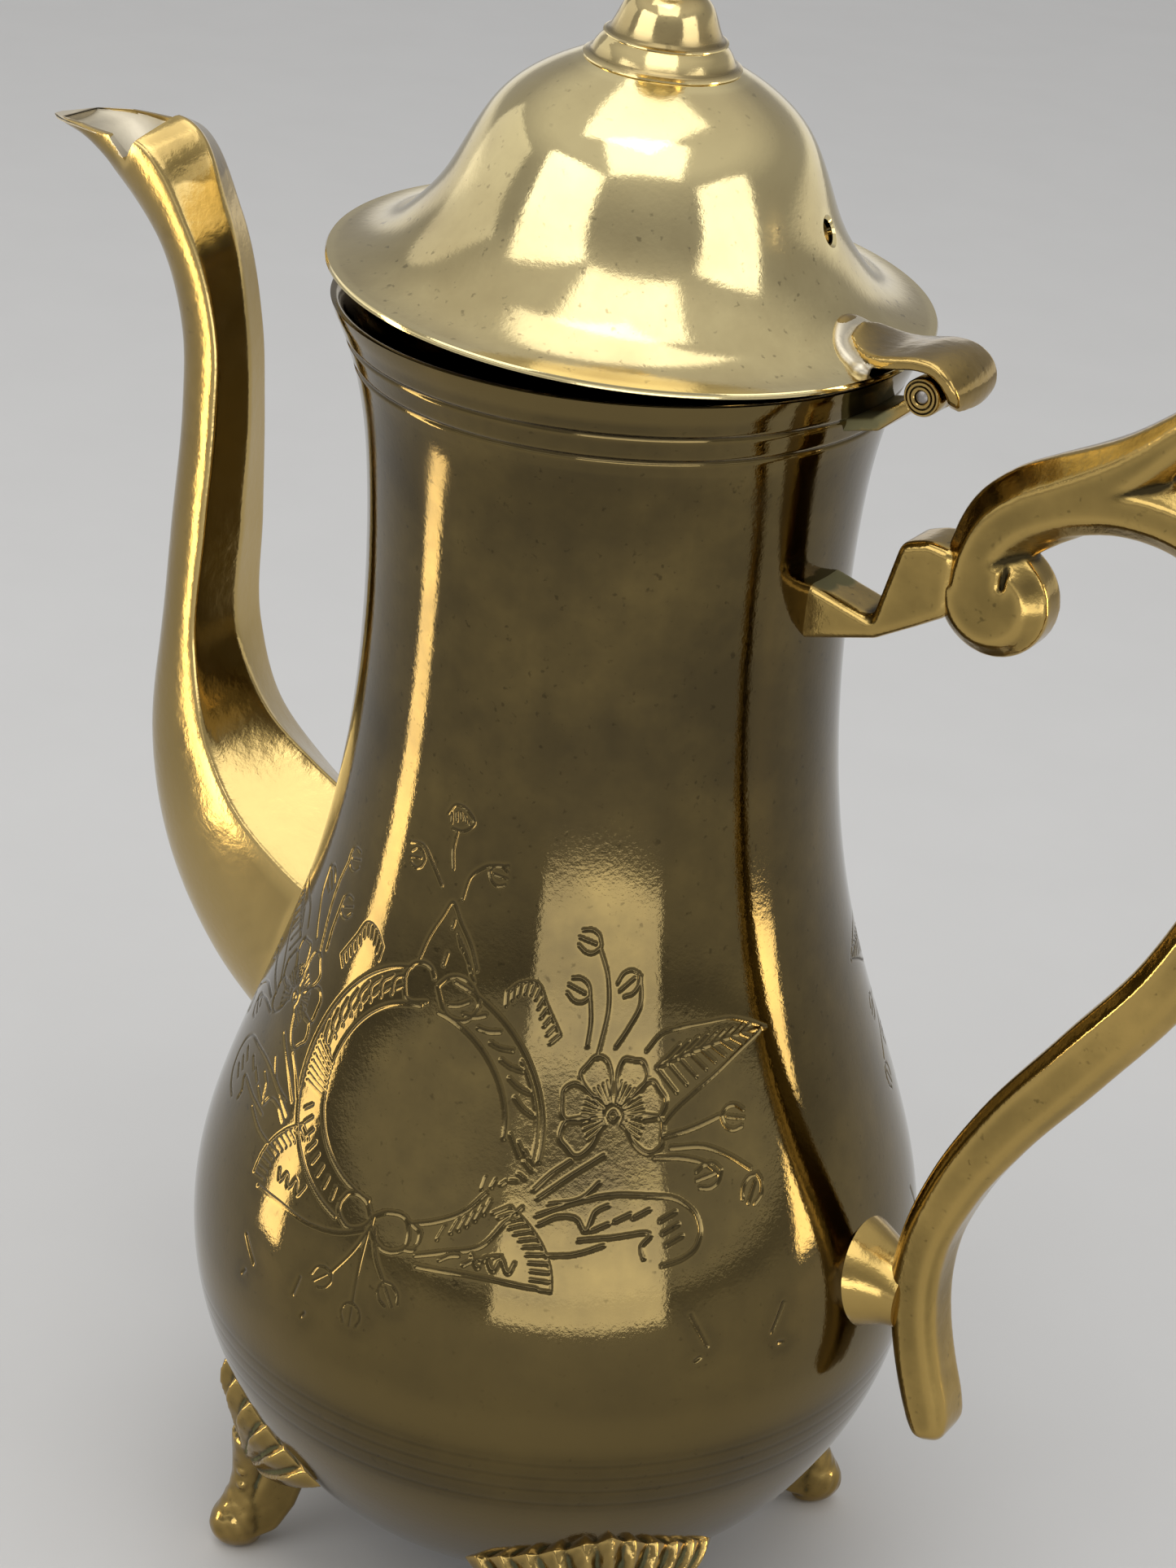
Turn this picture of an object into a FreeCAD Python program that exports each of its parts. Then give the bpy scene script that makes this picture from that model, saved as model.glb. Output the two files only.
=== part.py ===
# Footed brass coffee pot with a hinged domed lid, in millimetres.
# Frame: origin on the table below the pot's axis, +Z up, handle along +X, spout along -X.
import FreeCAD
import Part
import math
import os

import Sketcher

Vector = FreeCAD.Vector
Rotation = FreeCAD.Rotation
Placement = FreeCAD.Placement
Y_AXIS = Vector(0, 1, 0)
Z_AXIS = Vector(0, 0, 1)

SIZES = {
    # Overall sizes that the outlines stretch with
    "belly_radius": 52,
    "rim_height": 194,
    # Spun sheet of the pot
    "wall": 1.2,
    "base_lip": 4,
    "disc_thickness": 1.2,
    "disc_overlap": 2.8,
    "solder_gap": 0.1,
    "turned_line_depth": 0.3,
    "pour_hole_radius": 7,
    # Spout
    "stem_width": 14.2,
    "spout_wall": 1.4,
    # Handle and its lugs
    "handle_thickness": 8,
    "handle_scale": 1,
    "handle_bevel": 0.6,
    "curl_radius": 7,
    "lug_width": 8,
    "lug_round": 1,
    "post_root_radius": 12,
    "post_end_radius": 4.4,
    # Hinge
    "barrel_radius": 2.2,
    "barrel_half_length": 6,
    "centre_half_length": 2.1,
    "pin_radius": 0.87,
    "pin_clearance": 0.04,
    "knuckle_gap": 0.3,
    "bracket_thickness": 1.8,
    "leaf_inner_radius": 2.8,
    "leaf_thickness": 1.6,
    "leaf_half_width": 6,
    # Lid
    "lid_height": 29.4,
    "lid_sheet": 0.9,
    "lid_ajar": 3.45,
    "vent_radius": 1.5,
    # Finial
    "stud_radius": 2,
    "stud_clearance": 0.05,
    "nut_radius": 4.2,
    "nut_height": 3,
    "flange_radius": 9.95,
    "upper_flange_radius": 7.76,
    "knob_radius": 5.4,
    # Feet
    "foot_angle": 45,
    "rib_height": 1.6,
}
RIBS = 9

doc = FreeCAD.newDocument("CoffeePot")
sheet = doc.addObject("Spreadsheet::Sheet", "Sizes")


class Size:
    """A number together with the sheet expression that gives it."""

    def __init__(self, value, text):
        self.value = float(value)
        self.text = text

    def __add__(self, other):
        other = lift(other)
        return Size(self.value + other.value, f"({self.text} + {other.text})")

    def __radd__(self, other):
        return lift(other) + self

    def __sub__(self, other):
        other = lift(other)
        return Size(self.value - other.value, f"({self.text} - {other.text})")

    def __rsub__(self, other):
        return lift(other) - self

    def __mul__(self, other):
        other = lift(other)
        return Size(self.value * other.value, f"({self.text} * {other.text})")

    def __rmul__(self, other):
        return lift(other) * self

    def __truediv__(self, other):
        other = lift(other)
        return Size(self.value / other.value, f"({self.text} / {other.text})")

    def __neg__(self):
        return self * -1


def lift(amount):
    return amount if isinstance(amount, Size) else Size(amount, f"({amount:.6g})")


class Sheet:
    """The sheet's sizes by name."""


S = Sheet()
for row, (alias, number) in enumerate(SIZES.items(), start=1):
    sheet.set(f"A{row}", alias)
    sheet.set(f"B{row}", str(number))
    sheet.setAlias(f"B{row}", alias)
    setattr(S, alias, Size(number, f"Sizes.{alias}"))
doc.recompute()

# The outlines below are drawn for a belly of 52 and a rim at 194, and stretch with those two sizes.
across = S.belly_radius / 52
up = S.rim_height / 194
lid_up = S.lid_height / 29.4
girth = S.stem_width / 14.2


# Helpers for sketches and features
def bind(item, path, amount):
    item.setExpression(path, lift(amount).text)


def constrain(sketch, kind, where, amount):
    index = sketch.addConstraint(Sketcher.Constraint(kind, *where, amount.value))
    sketch.renameConstraint(index, f"size_{index}")
    bind(sketch, f"Constraints.size_{index}", amount)


def pin_point(sketch, geometry, vertex, point):
    """Ties a point of the sketch to its two sizes, measured from the sketch's origin."""
    for kind, axis, amount in (("DistanceX", -2, lift(point[0])), ("DistanceY", -1, lift(point[1]))):
        if amount.value == 0:
            sketch.addConstraint(Sketcher.Constraint("PointOnObject", geometry, vertex, axis))
        elif amount.value < 0:
            constrain(sketch, kind, (geometry, vertex, -1, 1), -amount)
        else:
            constrain(sketch, kind, (-1, 1, geometry, vertex), amount)


def flat(point):
    return Vector(lift(point[0]).value, lift(point[1]).value, 0)


def outline(sketch, start, *steps):
    """Closed outline: a step of one point is a line, and of more points a cubic's control points."""
    here = start
    first = None
    last = None
    for step in steps:
        poles = [flat(here)] + [flat(point) for point in step]
        if len(step) == 1:
            geometry = sketch.addGeometry(Part.LineSegment(*poles), False)
        else:
            curve = Part.BSplineCurve()
            curve.buildFromPoles(poles, False, min(3, len(step)))
            geometry = sketch.addGeometry(curve, False)
            sketch.exposeInternalGeometry(geometry)
            for number, point in enumerate(step[:-1], start=2):
                pin_point(sketch, geometry + number, 3, point)
        pin_point(sketch, geometry, 2, step[-1])
        if last is None:
            first = geometry
        else:
            sketch.addConstraint(Sketcher.Constraint("Coincident", last, 2, geometry, 1))
        last = geometry
        here = step[-1]
    sketch.addConstraint(Sketcher.Constraint("Coincident", last, 2, first, 1))


def circle(sketch, centre, radius):
    geometry = sketch.addGeometry(Part.Circle(flat(centre), Z_AXIS, radius.value), False)
    pin_point(sketch, geometry, 3, centre)
    constrain(sketch, "Radius", (geometry,), radius)


def new_body(name):
    return doc.addObject("PartDesign::Body", name)


def new_sketch(body, plane, name):
    sketch = body.newObject("Sketcher::SketchObject", name)
    support = next(item for item in body.Origin.OriginFeatures if item.Role == plane)
    sketch.AttachmentSupport = [(support, "")]
    sketch.MapMode = "FlatFace"
    return sketch


def revolve(body, name, start, *steps, kind="Revolution"):
    sketch = new_sketch(body, "XZ_Plane", f"{name}_outline")
    outline(sketch, start, *steps)
    feature = body.newObject(f"PartDesign::{kind}", name)
    feature.Profile = sketch
    feature.ReferenceAxis = (sketch, ["V_Axis"])
    feature.Angle = 360
    return feature


def slab(body, name, half_width, start, *steps, kind="Pad"):
    """Side-view outline given a width along Y, the same on both sides."""
    sketch = new_sketch(body, "XZ_Plane", f"{name}_outline")
    outline(sketch, start, *steps)
    return extrude(body, name, sketch, half_width, kind)


def rod(body, name, half_width, centre, radius, kind="Pad"):
    """Round bar along Y, the same on both sides."""
    sketch = new_sketch(body, "XZ_Plane", f"{name}_outline")
    circle(sketch, centre, radius)
    return extrude(body, name, sketch, half_width, kind)


def extrude(body, name, sketch, half_width, kind):
    feature = body.newObject(f"PartDesign::{kind}", name)
    feature.Profile = sketch
    feature.SideType = "Symmetric"
    bind(feature, "Length", 2 * half_width)
    return feature


def drill(body, name, plane, centre, radius, backwards):
    """Round hole from an origin plane outwards to one side only."""
    sketch = new_sketch(body, plane, f"{name}_outline")
    circle(sketch, centre, radius)
    feature = body.newObject("PartDesign::Pocket", name)
    feature.Profile = sketch
    feature.Type = "ThroughAll"
    feature.Reversed = backwards
    return feature


def loft(body, name, sections, kind):
    feature = body.newObject(f"PartDesign::{kind}", name)
    feature.Profile = sections[0]
    feature.Sections = [(section, "") for section in sections[1:]]
    return feature


def cut(name, base, tool):
    feature = doc.addObject("Part::Cut", name)
    feature.Base = base
    feature.Tool = tool
    return feature


def side_faces(feature):
    """The names of the two flat faces across Y."""
    names = []
    for number, face in enumerate(feature.Shape.Faces, start=1):
        if isinstance(face.Surface, Part.Plane) and abs(face.Surface.Axis.y) > 0.99:
            names.append(f"Face{number}")
    return names


def round_sides(body, name, feature, radius):
    doc.recompute()
    rounding = body.newObject("PartDesign::Fillet", name)
    rounding.Base = (feature, side_faces(feature))
    bind(rounding, "Radius", radius)
    return rounding


nodes = {}


def node(name, item):
    item.Label = name
    nodes[name] = item


# Pot outline from the rim down, and the way each control point moves when the outline is offset
POT = [
    (38.4, 194, 1, 0),
    (34.3, 185.4, 1, 0),
    (32.1, 173.3, 1, 0),
    (31.7, 141.3, 1, 0),
    (36.2, 110.3, 0.95, 0.25),
    (47.5, 82.2, 0.9, 0.3),
    (57.4, 50.3, 1, -0.25),
    (40.9, 19.2, 0.7, -0.9),
    (24, 11.5, 0.3, -1),
]


def pot_outline(offset):
    return [(across * r + offset * out, up * z + offset * rise) for r, z, out, rise in POT]


# Spun body
shell = new_body("shell_body")
outer = pot_outline(S.wall * 0)
inner = pot_outline(-S.wall)
base_edge = outer[-1]
lip_radius = base_edge[0] - S.base_lip
rim_inside = (inner[0][0], outer[0][1])
revolve(
    shell,
    "shell",
    outer[0],
    outer[1:],
    [(lip_radius, base_edge[1])],
    [(lip_radius, inner[-1][1])],
    [inner[-1]],
    inner[-2:0:-1] + [rim_inside],
    [outer[0]],
)
for name, height, radius in (("upper_line", 189.2, 36.35), ("lower_line", 185.8, 34.95)):
    middle = up * height
    crown = across * radius + 0.2
    revolve(
        shell,
        name,
        (crown, middle + 0.5),
        [(crown - 0.2 - S.turned_line_depth, middle)],
        [(crown, middle - 0.5)],
        [(crown, middle + 0.5)],
        kind="Groove",
    )
drill(shell, "pour_hole", "YZ_Plane", (0, up * 88), S.pour_hole_radius, False)
node("body_shell", shell)

# Solid of the pot's outside, a solder gap larger, that trims the pieces fixed to it
envelope = new_body("envelope")
skin = pot_outline(S.solder_gap)
revolve(envelope, "envelope_solid", (0, skin[0][1]), [skin[0]], skin[1:], [(0, skin[-1][1])], [(0, skin[0][1])])

# Disc that closes the base from inside
disc = doc.addObject("Part::Cylinder", "disc")
bind(disc, "Radius", lip_radius + S.disc_overlap)
bind(disc, "Height", S.disc_thickness)
bind(disc, "Placement.Base.z", inner[-1][1])
node("base_disc", disc)

# Spout stations: ridge x and z, lean in degrees, half width, depth of the round side, height of the roof
SPOUT = {
    "root": (-33, 97, -62, 11.5, 34, 10),
    "shoulder": (-44, 102.3, -52.9, 11.7, 30, 9.5),
    "elbow": (-53.5, 108.9, -44.1, 11, 24, 8),
    "bend": (-60, 117, -27.2, 9.2, 17, 5.2),
    "rise": (-63.3, 129, -8.5, 8, 10.8, 2.1),
    "stem": (-62.9, 146.6, -3, 7.1, 9.6, 1.7),
    "throat": (-62.4, 163.5, 0, 6, 8.9, 1.95),
    "nape": (-62.8, 175, -6, 5.55, 9, 1.7),
    "curve": (-67.6, 190.3, -29, 6.25, 9.3, 2.7),
    "mouth": (-76.1, 200.7, -44, 6.97, 10, 4),
    "lip": (-82, 200.3, -63, 6.3, 5.6, 2),
    "beak": (-87, 199.9, -76, 4.9, 2.9, 1),
    "point": (-91.8, 199.7, -82, 3, 1.4, 0.6),
    "tip": (-95.9, 199.6, -85, 0.7, 0.45, 0.3),
}


def spout_section(body, name, station, wall, clear=0):
    """Section of the spout, inset by a wall, with its roof raised where the bore breaks out of it."""
    x, z, lean, half_width, depth, roof = station
    sketch = new_sketch(body, "XY_Plane", name)
    sketch.AttachmentOffset = Placement(Vector((across * x).value, 0, (up * z).value), Rotation(Y_AXIS, lean))
    bind(sketch, "AttachmentOffset.Base.x", across * x)
    bind(sketch, "AttachmentOffset.Base.z", up * z)
    side = girth * half_width - wall
    round_depth = (girth * depth - wall) * (4 / 3)
    ridge = girth * (roof + clear) - wall * 0.6
    outline(
        sketch,
        (0, -side),
        [(ridge, 0)],
        [(0, side)],
        [(-round_depth, side), (-round_depth, -side), (0, -side)],
    )
    return sketch


casting = new_body("spout_casting")
sections = [spout_section(casting, f"spout_{name}", station, S.wall * 0) for name, station in SPOUT.items()]
loft(casting, "spout_outside", sections, "AdditiveLoft")
# The bore breaks out through the roof past the mouth, where the casting becomes an open trough
TROUGH = {"lip": 0.85, "beak": 0.7, "point": 0.5}
bore_sections = []
for name, station in SPOUT.items():
    if name in TROUGH:
        bore_sections.append(spout_section(casting, f"bore_{name}", station, S.spout_wall * TROUGH[name], clear=6))
    elif name != "tip":
        bore_sections.append(spout_section(casting, f"bore_{name}", station, S.spout_wall))
loft(casting, "spout_bore", bore_sections, "SubtractiveLoft")
slab(
    casting,
    "beak_cut",
    girth * 20,
    (across * -78.3, up * 197.4),
    [(across * -70, up * 211)],
    [(across * -70, up * 225)],
    [(across * -105, up * 225)],
    [(across * -105, up * 199.5)],
    [(across * -96.4, up * 199.5)],
    [(across * -81, up * 200.2)],
    [(across * -78.3, up * 197.4)],
    kind="Pocket",
)
node("spout", cut("spout", casting, envelope))


def at(*points):
    return [(across * x, up * z) for x, z in points]


# Handle: two strands of a bevelled flat-sided section and a round curl, as one casting.
# Each station of a strand has the centre line's x and z, its heading in degrees and the thickness.
GRIP = [
    (58, 181, 34, 7),
    (64.5, 184.6, 24, 7.6),
    (71, 186.4, 9, 8),
    (80.5, 185.7, -13, 9),
    (88.3, 181, -48, 9.6),
    (93, 172.5, -74, 9.2),
    (94.5, 161, -89, 8.2),
    (93.6, 148, -99, 7.6),
    (86.7, 127.6, -118, 8.2),
    (77, 112.2, -125, 8.4),
    (67.9, 98.4, -121, 8),
    (62.2, 87, -109, 7.3),
    (59.3, 77.5, -98, 6.9),
    (58.7, 70.5, -89, 7.1),
    (59.5, 64, -80, 6.8),
    (61.2, 57, -74, 6.2),
    (63.2, 51, -71, 5.2),
    (64.6, 46.8, -73, 3),
]
SPUR = [
    (54.2, 170.5, 90, 8.6),
    (54.7, 175, 80, 9.4),
    (56.3, 179.3, 58, 10.4),
    (59.6, 182.9, 40, 10.6),
    (63.9, 185.6, 32, 10.2),
    (68.3, 188.6, 36, 9),
    (72, 191.6, 41, 7.6),
    (76.2, 195.8, 46, 6),
    (81.5, 201.6, 49, 4.4),
    (87.6, 209.3, 52, 2.2),
]
CURL = (57.7, 170)


def strand(body, name, stations):
    """Loft along a centre line in the XZ plane, square to it at every station."""
    sections = []
    wide = S.handle_thickness / 2
    for number, (x, z, heading, thickness) in enumerate(stations, start=1):
        sketch = new_sketch(body, "XY_Plane", f"{name}_section_{number}")
        sketch.AttachmentOffset = Placement(Vector(), Rotation(Y_AXIS, 90 - heading))
        bind(sketch, "AttachmentOffset.Base.x", across * x)
        bind(sketch, "AttachmentOffset.Base.z", up * z)
        thick = S.handle_scale * (thickness / 2)
        bevel = thick * S.handle_bevel
        outline(
            sketch,
            (thick, bevel - wide),
            [(thick, wide - bevel)],
            [(thick - bevel, wide)],
            [(bevel - thick, wide)],
            [(-thick, wide - bevel)],
            [(-thick, bevel - wide)],
            [(bevel - thick, -wide)],
            [(thick - bevel, -wide)],
            [(thick, bevel - wide)],
        )
        sections.append(sketch)
    return loft(body, name, sections, "AdditiveLoft")


scroll = new_body("scroll")
curl = rod(scroll, "curl", S.handle_thickness / 2, at(CURL)[0], S.curl_radius)
doc.recompute()
curl_bevel = scroll.newObject("PartDesign::Chamfer", "curl_bevel")
curl_bevel.Base = (curl, side_faces(curl))
bind(curl_bevel, "Size", S.curl_radius * 0.3)
strand(scroll, "grip", GRIP)
strand(scroll, "spur", SPUR)
node("handle", scroll)

# Upper lug with its notch, and the lower post
lug_end = across * 52
lug = new_body("lug")
lug_pad = slab(
    lug,
    "lug_slab",
    S.lug_width / 2,
    (across * 28, up * 157),
    at((41.6, 161)),
    at((47.4, 164.4)),
    [(lug_end, up * 167)],
    [(lug_end, up * 175.2)],
    at((47.8, 175.6)),
    at((43.4, 174.4)),
    at((40.8, 163.6)),
    at((28, 166.8)),
    at((28, 157)),
)
round_sides(lug, "lug_round", lug_pad, S.lug_round)
node("upper_handle_lug", cut("upper_lug", cut("lug_trimmed", lug, envelope), scroll))

post_start = across * 46
post_length = across * 57 - post_start
post = doc.addObject("Part::Cone", "post")
post.Placement = Placement(Vector(), Rotation(Y_AXIS, 90))
bind(post, "Placement.Base.x", post_start)
bind(post, "Placement.Base.z", up * 67.2)
bind(post, "Radius1", S.post_root_radius)
bind(post, "Radius2", S.post_end_radius)
bind(post, "Height", post_length)
node("lower_handle_lug", cut("lower_lug", cut("post_trimmed", post, envelope), scroll))

# Hinge: bracket with two knuckles on the neck, pin, and the lid's leaf with the centre knuckle
hinge_x = across * 45.1
hinge_z = up * 194.4
barrel = S.barrel_radius
arm = S.bracket_thickness
bracket = new_body("bracket")
slab(
    bracket,
    "bracket_arm",
    S.barrel_half_length,
    (across * 33, hinge_z - 7.4),
    [(hinge_x - 5.2, hinge_z - 5.6)],
    [(hinge_x - 0.5 * barrel, hinge_z - 0.85 * barrel)],
    [(hinge_x, hinge_z)],
    [(hinge_x - 0.9 * barrel, hinge_z - 0.3 * barrel)],
    [(hinge_x - 5.2 - 0.6 * arm, hinge_z - 5.6 + 0.8 * arm)],
    [(across * 33, hinge_z - 7.4 + arm)],
    [(across * 33, hinge_z - 7.4)],
)
rod(bracket, "bracket_barrel", S.barrel_half_length, (hinge_x, hinge_z), barrel)
gap_side = barrel + S.knuckle_gap
slab(
    bracket,
    "bracket_slot",
    S.centre_half_length + S.knuckle_gap,
    (hinge_x - gap_side, hinge_z - gap_side),
    [(hinge_x + gap_side, hinge_z - gap_side)],
    [(hinge_x + gap_side, hinge_z + gap_side)],
    [(hinge_x - gap_side, hinge_z + gap_side)],
    [(hinge_x - gap_side, hinge_z - gap_side)],
    kind="Pocket",
)
rod(bracket, "bracket_bore", S.barrel_half_length + 1, (hinge_x, hinge_z), S.pin_radius + S.pin_clearance, "Pocket")
node("hinge_bracket", cut("bracket_trimmed", bracket, envelope))

pin = new_body("pin")
rod(pin, "pin_rod", S.barrel_half_length + 0.1, (hinge_x, hinge_z), S.pin_radius)
node("hinge_pin", pin)

# Lid outline from the brim up, above the rim, and the way each control point moves when it is offset
LID = [
    (39, 1, 0, 1),
    (33.7, 1.5, 0.3, 0.95),
    (28.8, 6, 0.8, 0.6),
    (24.7, 11.8, 0.9, 0.4),
    (22.1, 19, 0.9, 0.4),
    (17.7, 25.6, 0.6, 0.8),
    (9, 29.4, 0, 1),
]
rim = S.rim_height


def lid_outline(offset):
    return [(across * r + offset * out, rim + lid_up * z + offset * rise) for r, z, out, rise in LID]


swing = Placement(Vector(), Rotation(Y_AXIS, S.lid_ajar.value), Vector(hinge_x.value, 0, hinge_z.value))
stud_hole = S.stud_radius + S.stud_clearance
dome = new_body("dome")
lid_top = lid_outline(S.wall * 0)
lid_under = lid_outline(-S.lid_sheet)
revolve(
    dome,
    "dome_sheet",
    lid_top[0],
    lid_top[1:],
    [(stud_hole, lid_top[-1][1])],
    [(stud_hole, lid_under[-1][1])],
    [lid_under[-1]],
    lid_under[-2::-1],
    [lid_top[0]],
)
drill(dome, "vent", "YZ_Plane", (across * 5, rim + lid_up * 12.9), S.vent_radius, True)
dome.Placement = swing
node("lid_shell", dome)

lid_envelope = new_body("lid_envelope")
lid_skin = lid_outline(S.solder_gap)
revolve(
    lid_envelope,
    "lid_envelope_solid",
    (0, lid_skin[0][1] - 3),
    [(lid_skin[0][0] + S.solder_gap, lid_skin[0][1] - 3)],
    [(lid_skin[0][0] + S.solder_gap, lid_skin[0][1])],
    [lid_skin[0]],
    lid_skin[1:],
    [(0, lid_skin[-1][1])],
    [(0, lid_skin[0][1] - 3)],
)
lid_envelope.Placement = swing

leaf = new_body("leaf")
cap_inside = S.leaf_inner_radius
cap = cap_inside + S.leaf_thickness
round_pole = 4 / 3 * (math.sqrt(2) - 1)
slab(
    leaf,
    "leaf_plate",
    S.leaf_half_width,
    (hinge_x - 15, hinge_z + 1),
    [(hinge_x - 6.3, hinge_z + cap_inside - 1)],
    [(hinge_x - 3, hinge_z + cap_inside), (hinge_x - 1.5, hinge_z + cap_inside), (hinge_x, hinge_z + cap_inside)],
    [
        (hinge_x + cap_inside * round_pole, hinge_z + cap_inside),
        (hinge_x + cap_inside, hinge_z + cap_inside * round_pole),
        (hinge_x + cap_inside, hinge_z),
    ],
    [(hinge_x + cap_inside - 0.15, hinge_z - 1)],
    [(hinge_x + cap - 0.3, hinge_z - 1)],
    [(hinge_x + cap, hinge_z)],
    [
        (hinge_x + cap, hinge_z + cap * round_pole),
        (hinge_x + cap * round_pole, hinge_z + cap),
        (hinge_x, hinge_z + cap),
    ],
    [(hinge_x - 2.5, hinge_z + cap), (hinge_x - 5.5, hinge_z + cap - 1.6), (hinge_x - 11, hinge_z + cap - 0.8)],
    [(hinge_x - 15, hinge_z + cap)],
    [(hinge_x - 15, hinge_z + 1)],
)
slab(
    leaf,
    "leaf_web",
    S.centre_half_length,
    (hinge_x - 0.8 * barrel, hinge_z),
    [(hinge_x + 0.8 * barrel, hinge_z)],
    [(hinge_x + 0.8 * barrel, hinge_z + cap_inside + 0.4)],
    [(hinge_x - 0.8 * barrel, hinge_z + cap_inside + 0.4)],
    [(hinge_x - 0.8 * barrel, hinge_z)],
)
rod(leaf, "leaf_knuckle", S.centre_half_length, (hinge_x, hinge_z), barrel)
rod(leaf, "leaf_bore", S.barrel_half_length, (hinge_x, hinge_z), S.pin_radius + S.pin_clearance, "Pocket")
leaf.Placement = swing
node("lid_leaf", cut("leaf_trimmed", leaf, lid_envelope))

# Finial in two turned pieces on a stud with a nut under the dome
seat = lid_top[-1][1] + S.solder_gap / 2
step_z = seat + 2.55
tier = new_body("tier")
revolve(
    tier,
    "tier_turning",
    (stud_hole, seat),
    [(S.flange_radius, seat)],
    [(S.flange_radius, seat + 0.5)],
    [(S.flange_radius - 0.75, seat + 0.8)],
    [(S.upper_flange_radius - 0.1, step_z)],
    [(stud_hole, step_z)],
    [(stud_hole, seat)],
)
tier.Placement = swing
node("finial_base", tier)

knob_z = step_z + S.solder_gap / 2
knob = new_body("knob")
revolve(
    knob,
    "knob_turning",
    (stud_hole, knob_z),
    [(S.upper_flange_radius, knob_z)],
    [(S.upper_flange_radius, knob_z + 0.5)],
    [(S.upper_flange_radius - 0.7, knob_z + 0.9)],
    [(S.upper_flange_radius - 2.2, knob_z + 4.9), (3, knob_z + 5.5), (3.1, knob_z + 8)],
    [(S.knob_radius - 0.8, knob_z + 8.4)],
    [(S.knob_radius - 0.8, knob_z + 9.2)],
    [(2.6, knob_z + 10)],
    [
        (S.knob_radius * 1.2, knob_z + 11),
        (S.knob_radius * 1.3, knob_z + 17),
        (2.4, knob_z + 20),
        (1.6, knob_z + 22.4),
        (0, knob_z + 24),
    ],
    [(0, knob_z + 6)],
    [(stud_hole, knob_z + 6)],
    [(stud_hole, knob_z)],
)
knob.Placement = swing
node("finial_knob", knob)

under = lid_under[-1][1] - S.solder_gap / 2
stud = new_body("stud")
stud_low = under - S.nut_height - 1
revolve(
    stud,
    "stud_rod",
    (0, stud_low),
    [(S.stud_radius, stud_low)],
    [(S.stud_radius, knob_z + 5.8)],
    [(0, knob_z + 5.8)],
    [(0, stud_low)],
)
stud.Placement = swing
node("finial_stud", stud)

nut = new_body("nut")
nut_low = under - S.nut_height
revolve(
    nut,
    "nut_turning",
    (stud_hole, nut_low),
    [(S.nut_radius, nut_low)],
    [(S.nut_radius, under)],
    [(stud_hole, under)],
    [(stud_hole, nut_low)],
)
nut.Placement = swing
node("finial_nut", nut)

# Foot along +X: a loft of ellipses for toe and ankle, and a fluted fan that spreads over the belly.
# Each ring has its centre's x and z, its depth towards the axis and its width.
LEG = {
    "sole": (44, 0, 2.6, 1.4),
    "ball": (44.2, 1.6, 4.3, 3.1),
    "toe": (43.7, 4.8, 5.5, 4.7),
    "instep": (41.5, 9, 5.9, 4.1),
    "ankle": (40.5, 13, 6, 3.9),
    "knee": (38.5, 20, 7.3, 5),
}
leg_rings = []
for name, (x, z, deep, wide) in LEG.items():
    ring = doc.addObject("Part::Ellipse", f"leg_{name}")
    bind(ring, "MajorRadius", across * deep)
    bind(ring, "MinorRadius", across * wide)
    bind(ring, "Placement.Base.x", across * x)
    bind(ring, "Placement.Base.z", up * z)
    leg_rings.append(ring)
leg = doc.addObject("Part::Loft", "leg")
leg.Sections = leg_rings
leg.Solid = True

FAN_LOW = 12
FAN_HIGH = 40
FAN_REACH = 48.5
FAN_TURN = 47
RIM_APEX = 35.4
EDGES = [2 * number / RIBS - 1 for number in range(RIBS + 1)]


def fan_low(share, bulge=0):
    """Point of the fan's outside at the ankle, for a share of its half width."""
    return (across * (45.8 - 1.5 * share * share + bulge), across * (4.6 * share))


def fan_high(share, bulge=0):
    """Point of the fan's outside at its top level, on an arc about the pot's axis."""
    angle = math.radians(FAN_TURN * share)
    reach = FAN_REACH - 3.8 * share * share + bulge
    return (across * (reach * math.cos(angle)), across * (reach * math.sin(angle)))


def rim_point(share, bulge=0):
    """Point of the fan's rim in front view, where the rib's line reaches the rim."""
    z = RIM_APEX - 11.5 * abs(share) + 1.7 * share * share
    rise = (z - FAN_LOW) / (FAN_HIGH - FAN_LOW)
    high_side = (FAN_REACH - 3.8 * share * share) * math.sin(math.radians(FAN_TURN * share))
    side = 4.6 * share + (high_side - 4.6 * share) * rise
    reach = math.hypot(side, z - FAN_LOW)
    stretch = 1 + bulge / reach
    return (across * (side * stretch), up * (FAN_LOW + (z - FAN_LOW) * stretch))


def lobes(point, bulge):
    """Steps of an outline with one round lobe for every rib."""
    return [[point((a + b) / 2, bulge), point(b)] for a, b in zip(EDGES, EDGES[1:])]


def fan_section(body, name, height, point, bulge, back_x, back_y):
    sketch = new_sketch(body, "XY_Plane", name)
    bind(sketch, "AttachmentOffset.Base.z", up * height)
    start = point(-1)
    back = [[(across * back_x, across * back_y)], [(across * back_x, across * -back_y)]]
    outline(sketch, start, *lobes(point, bulge), *back, [start])
    return sketch


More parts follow.
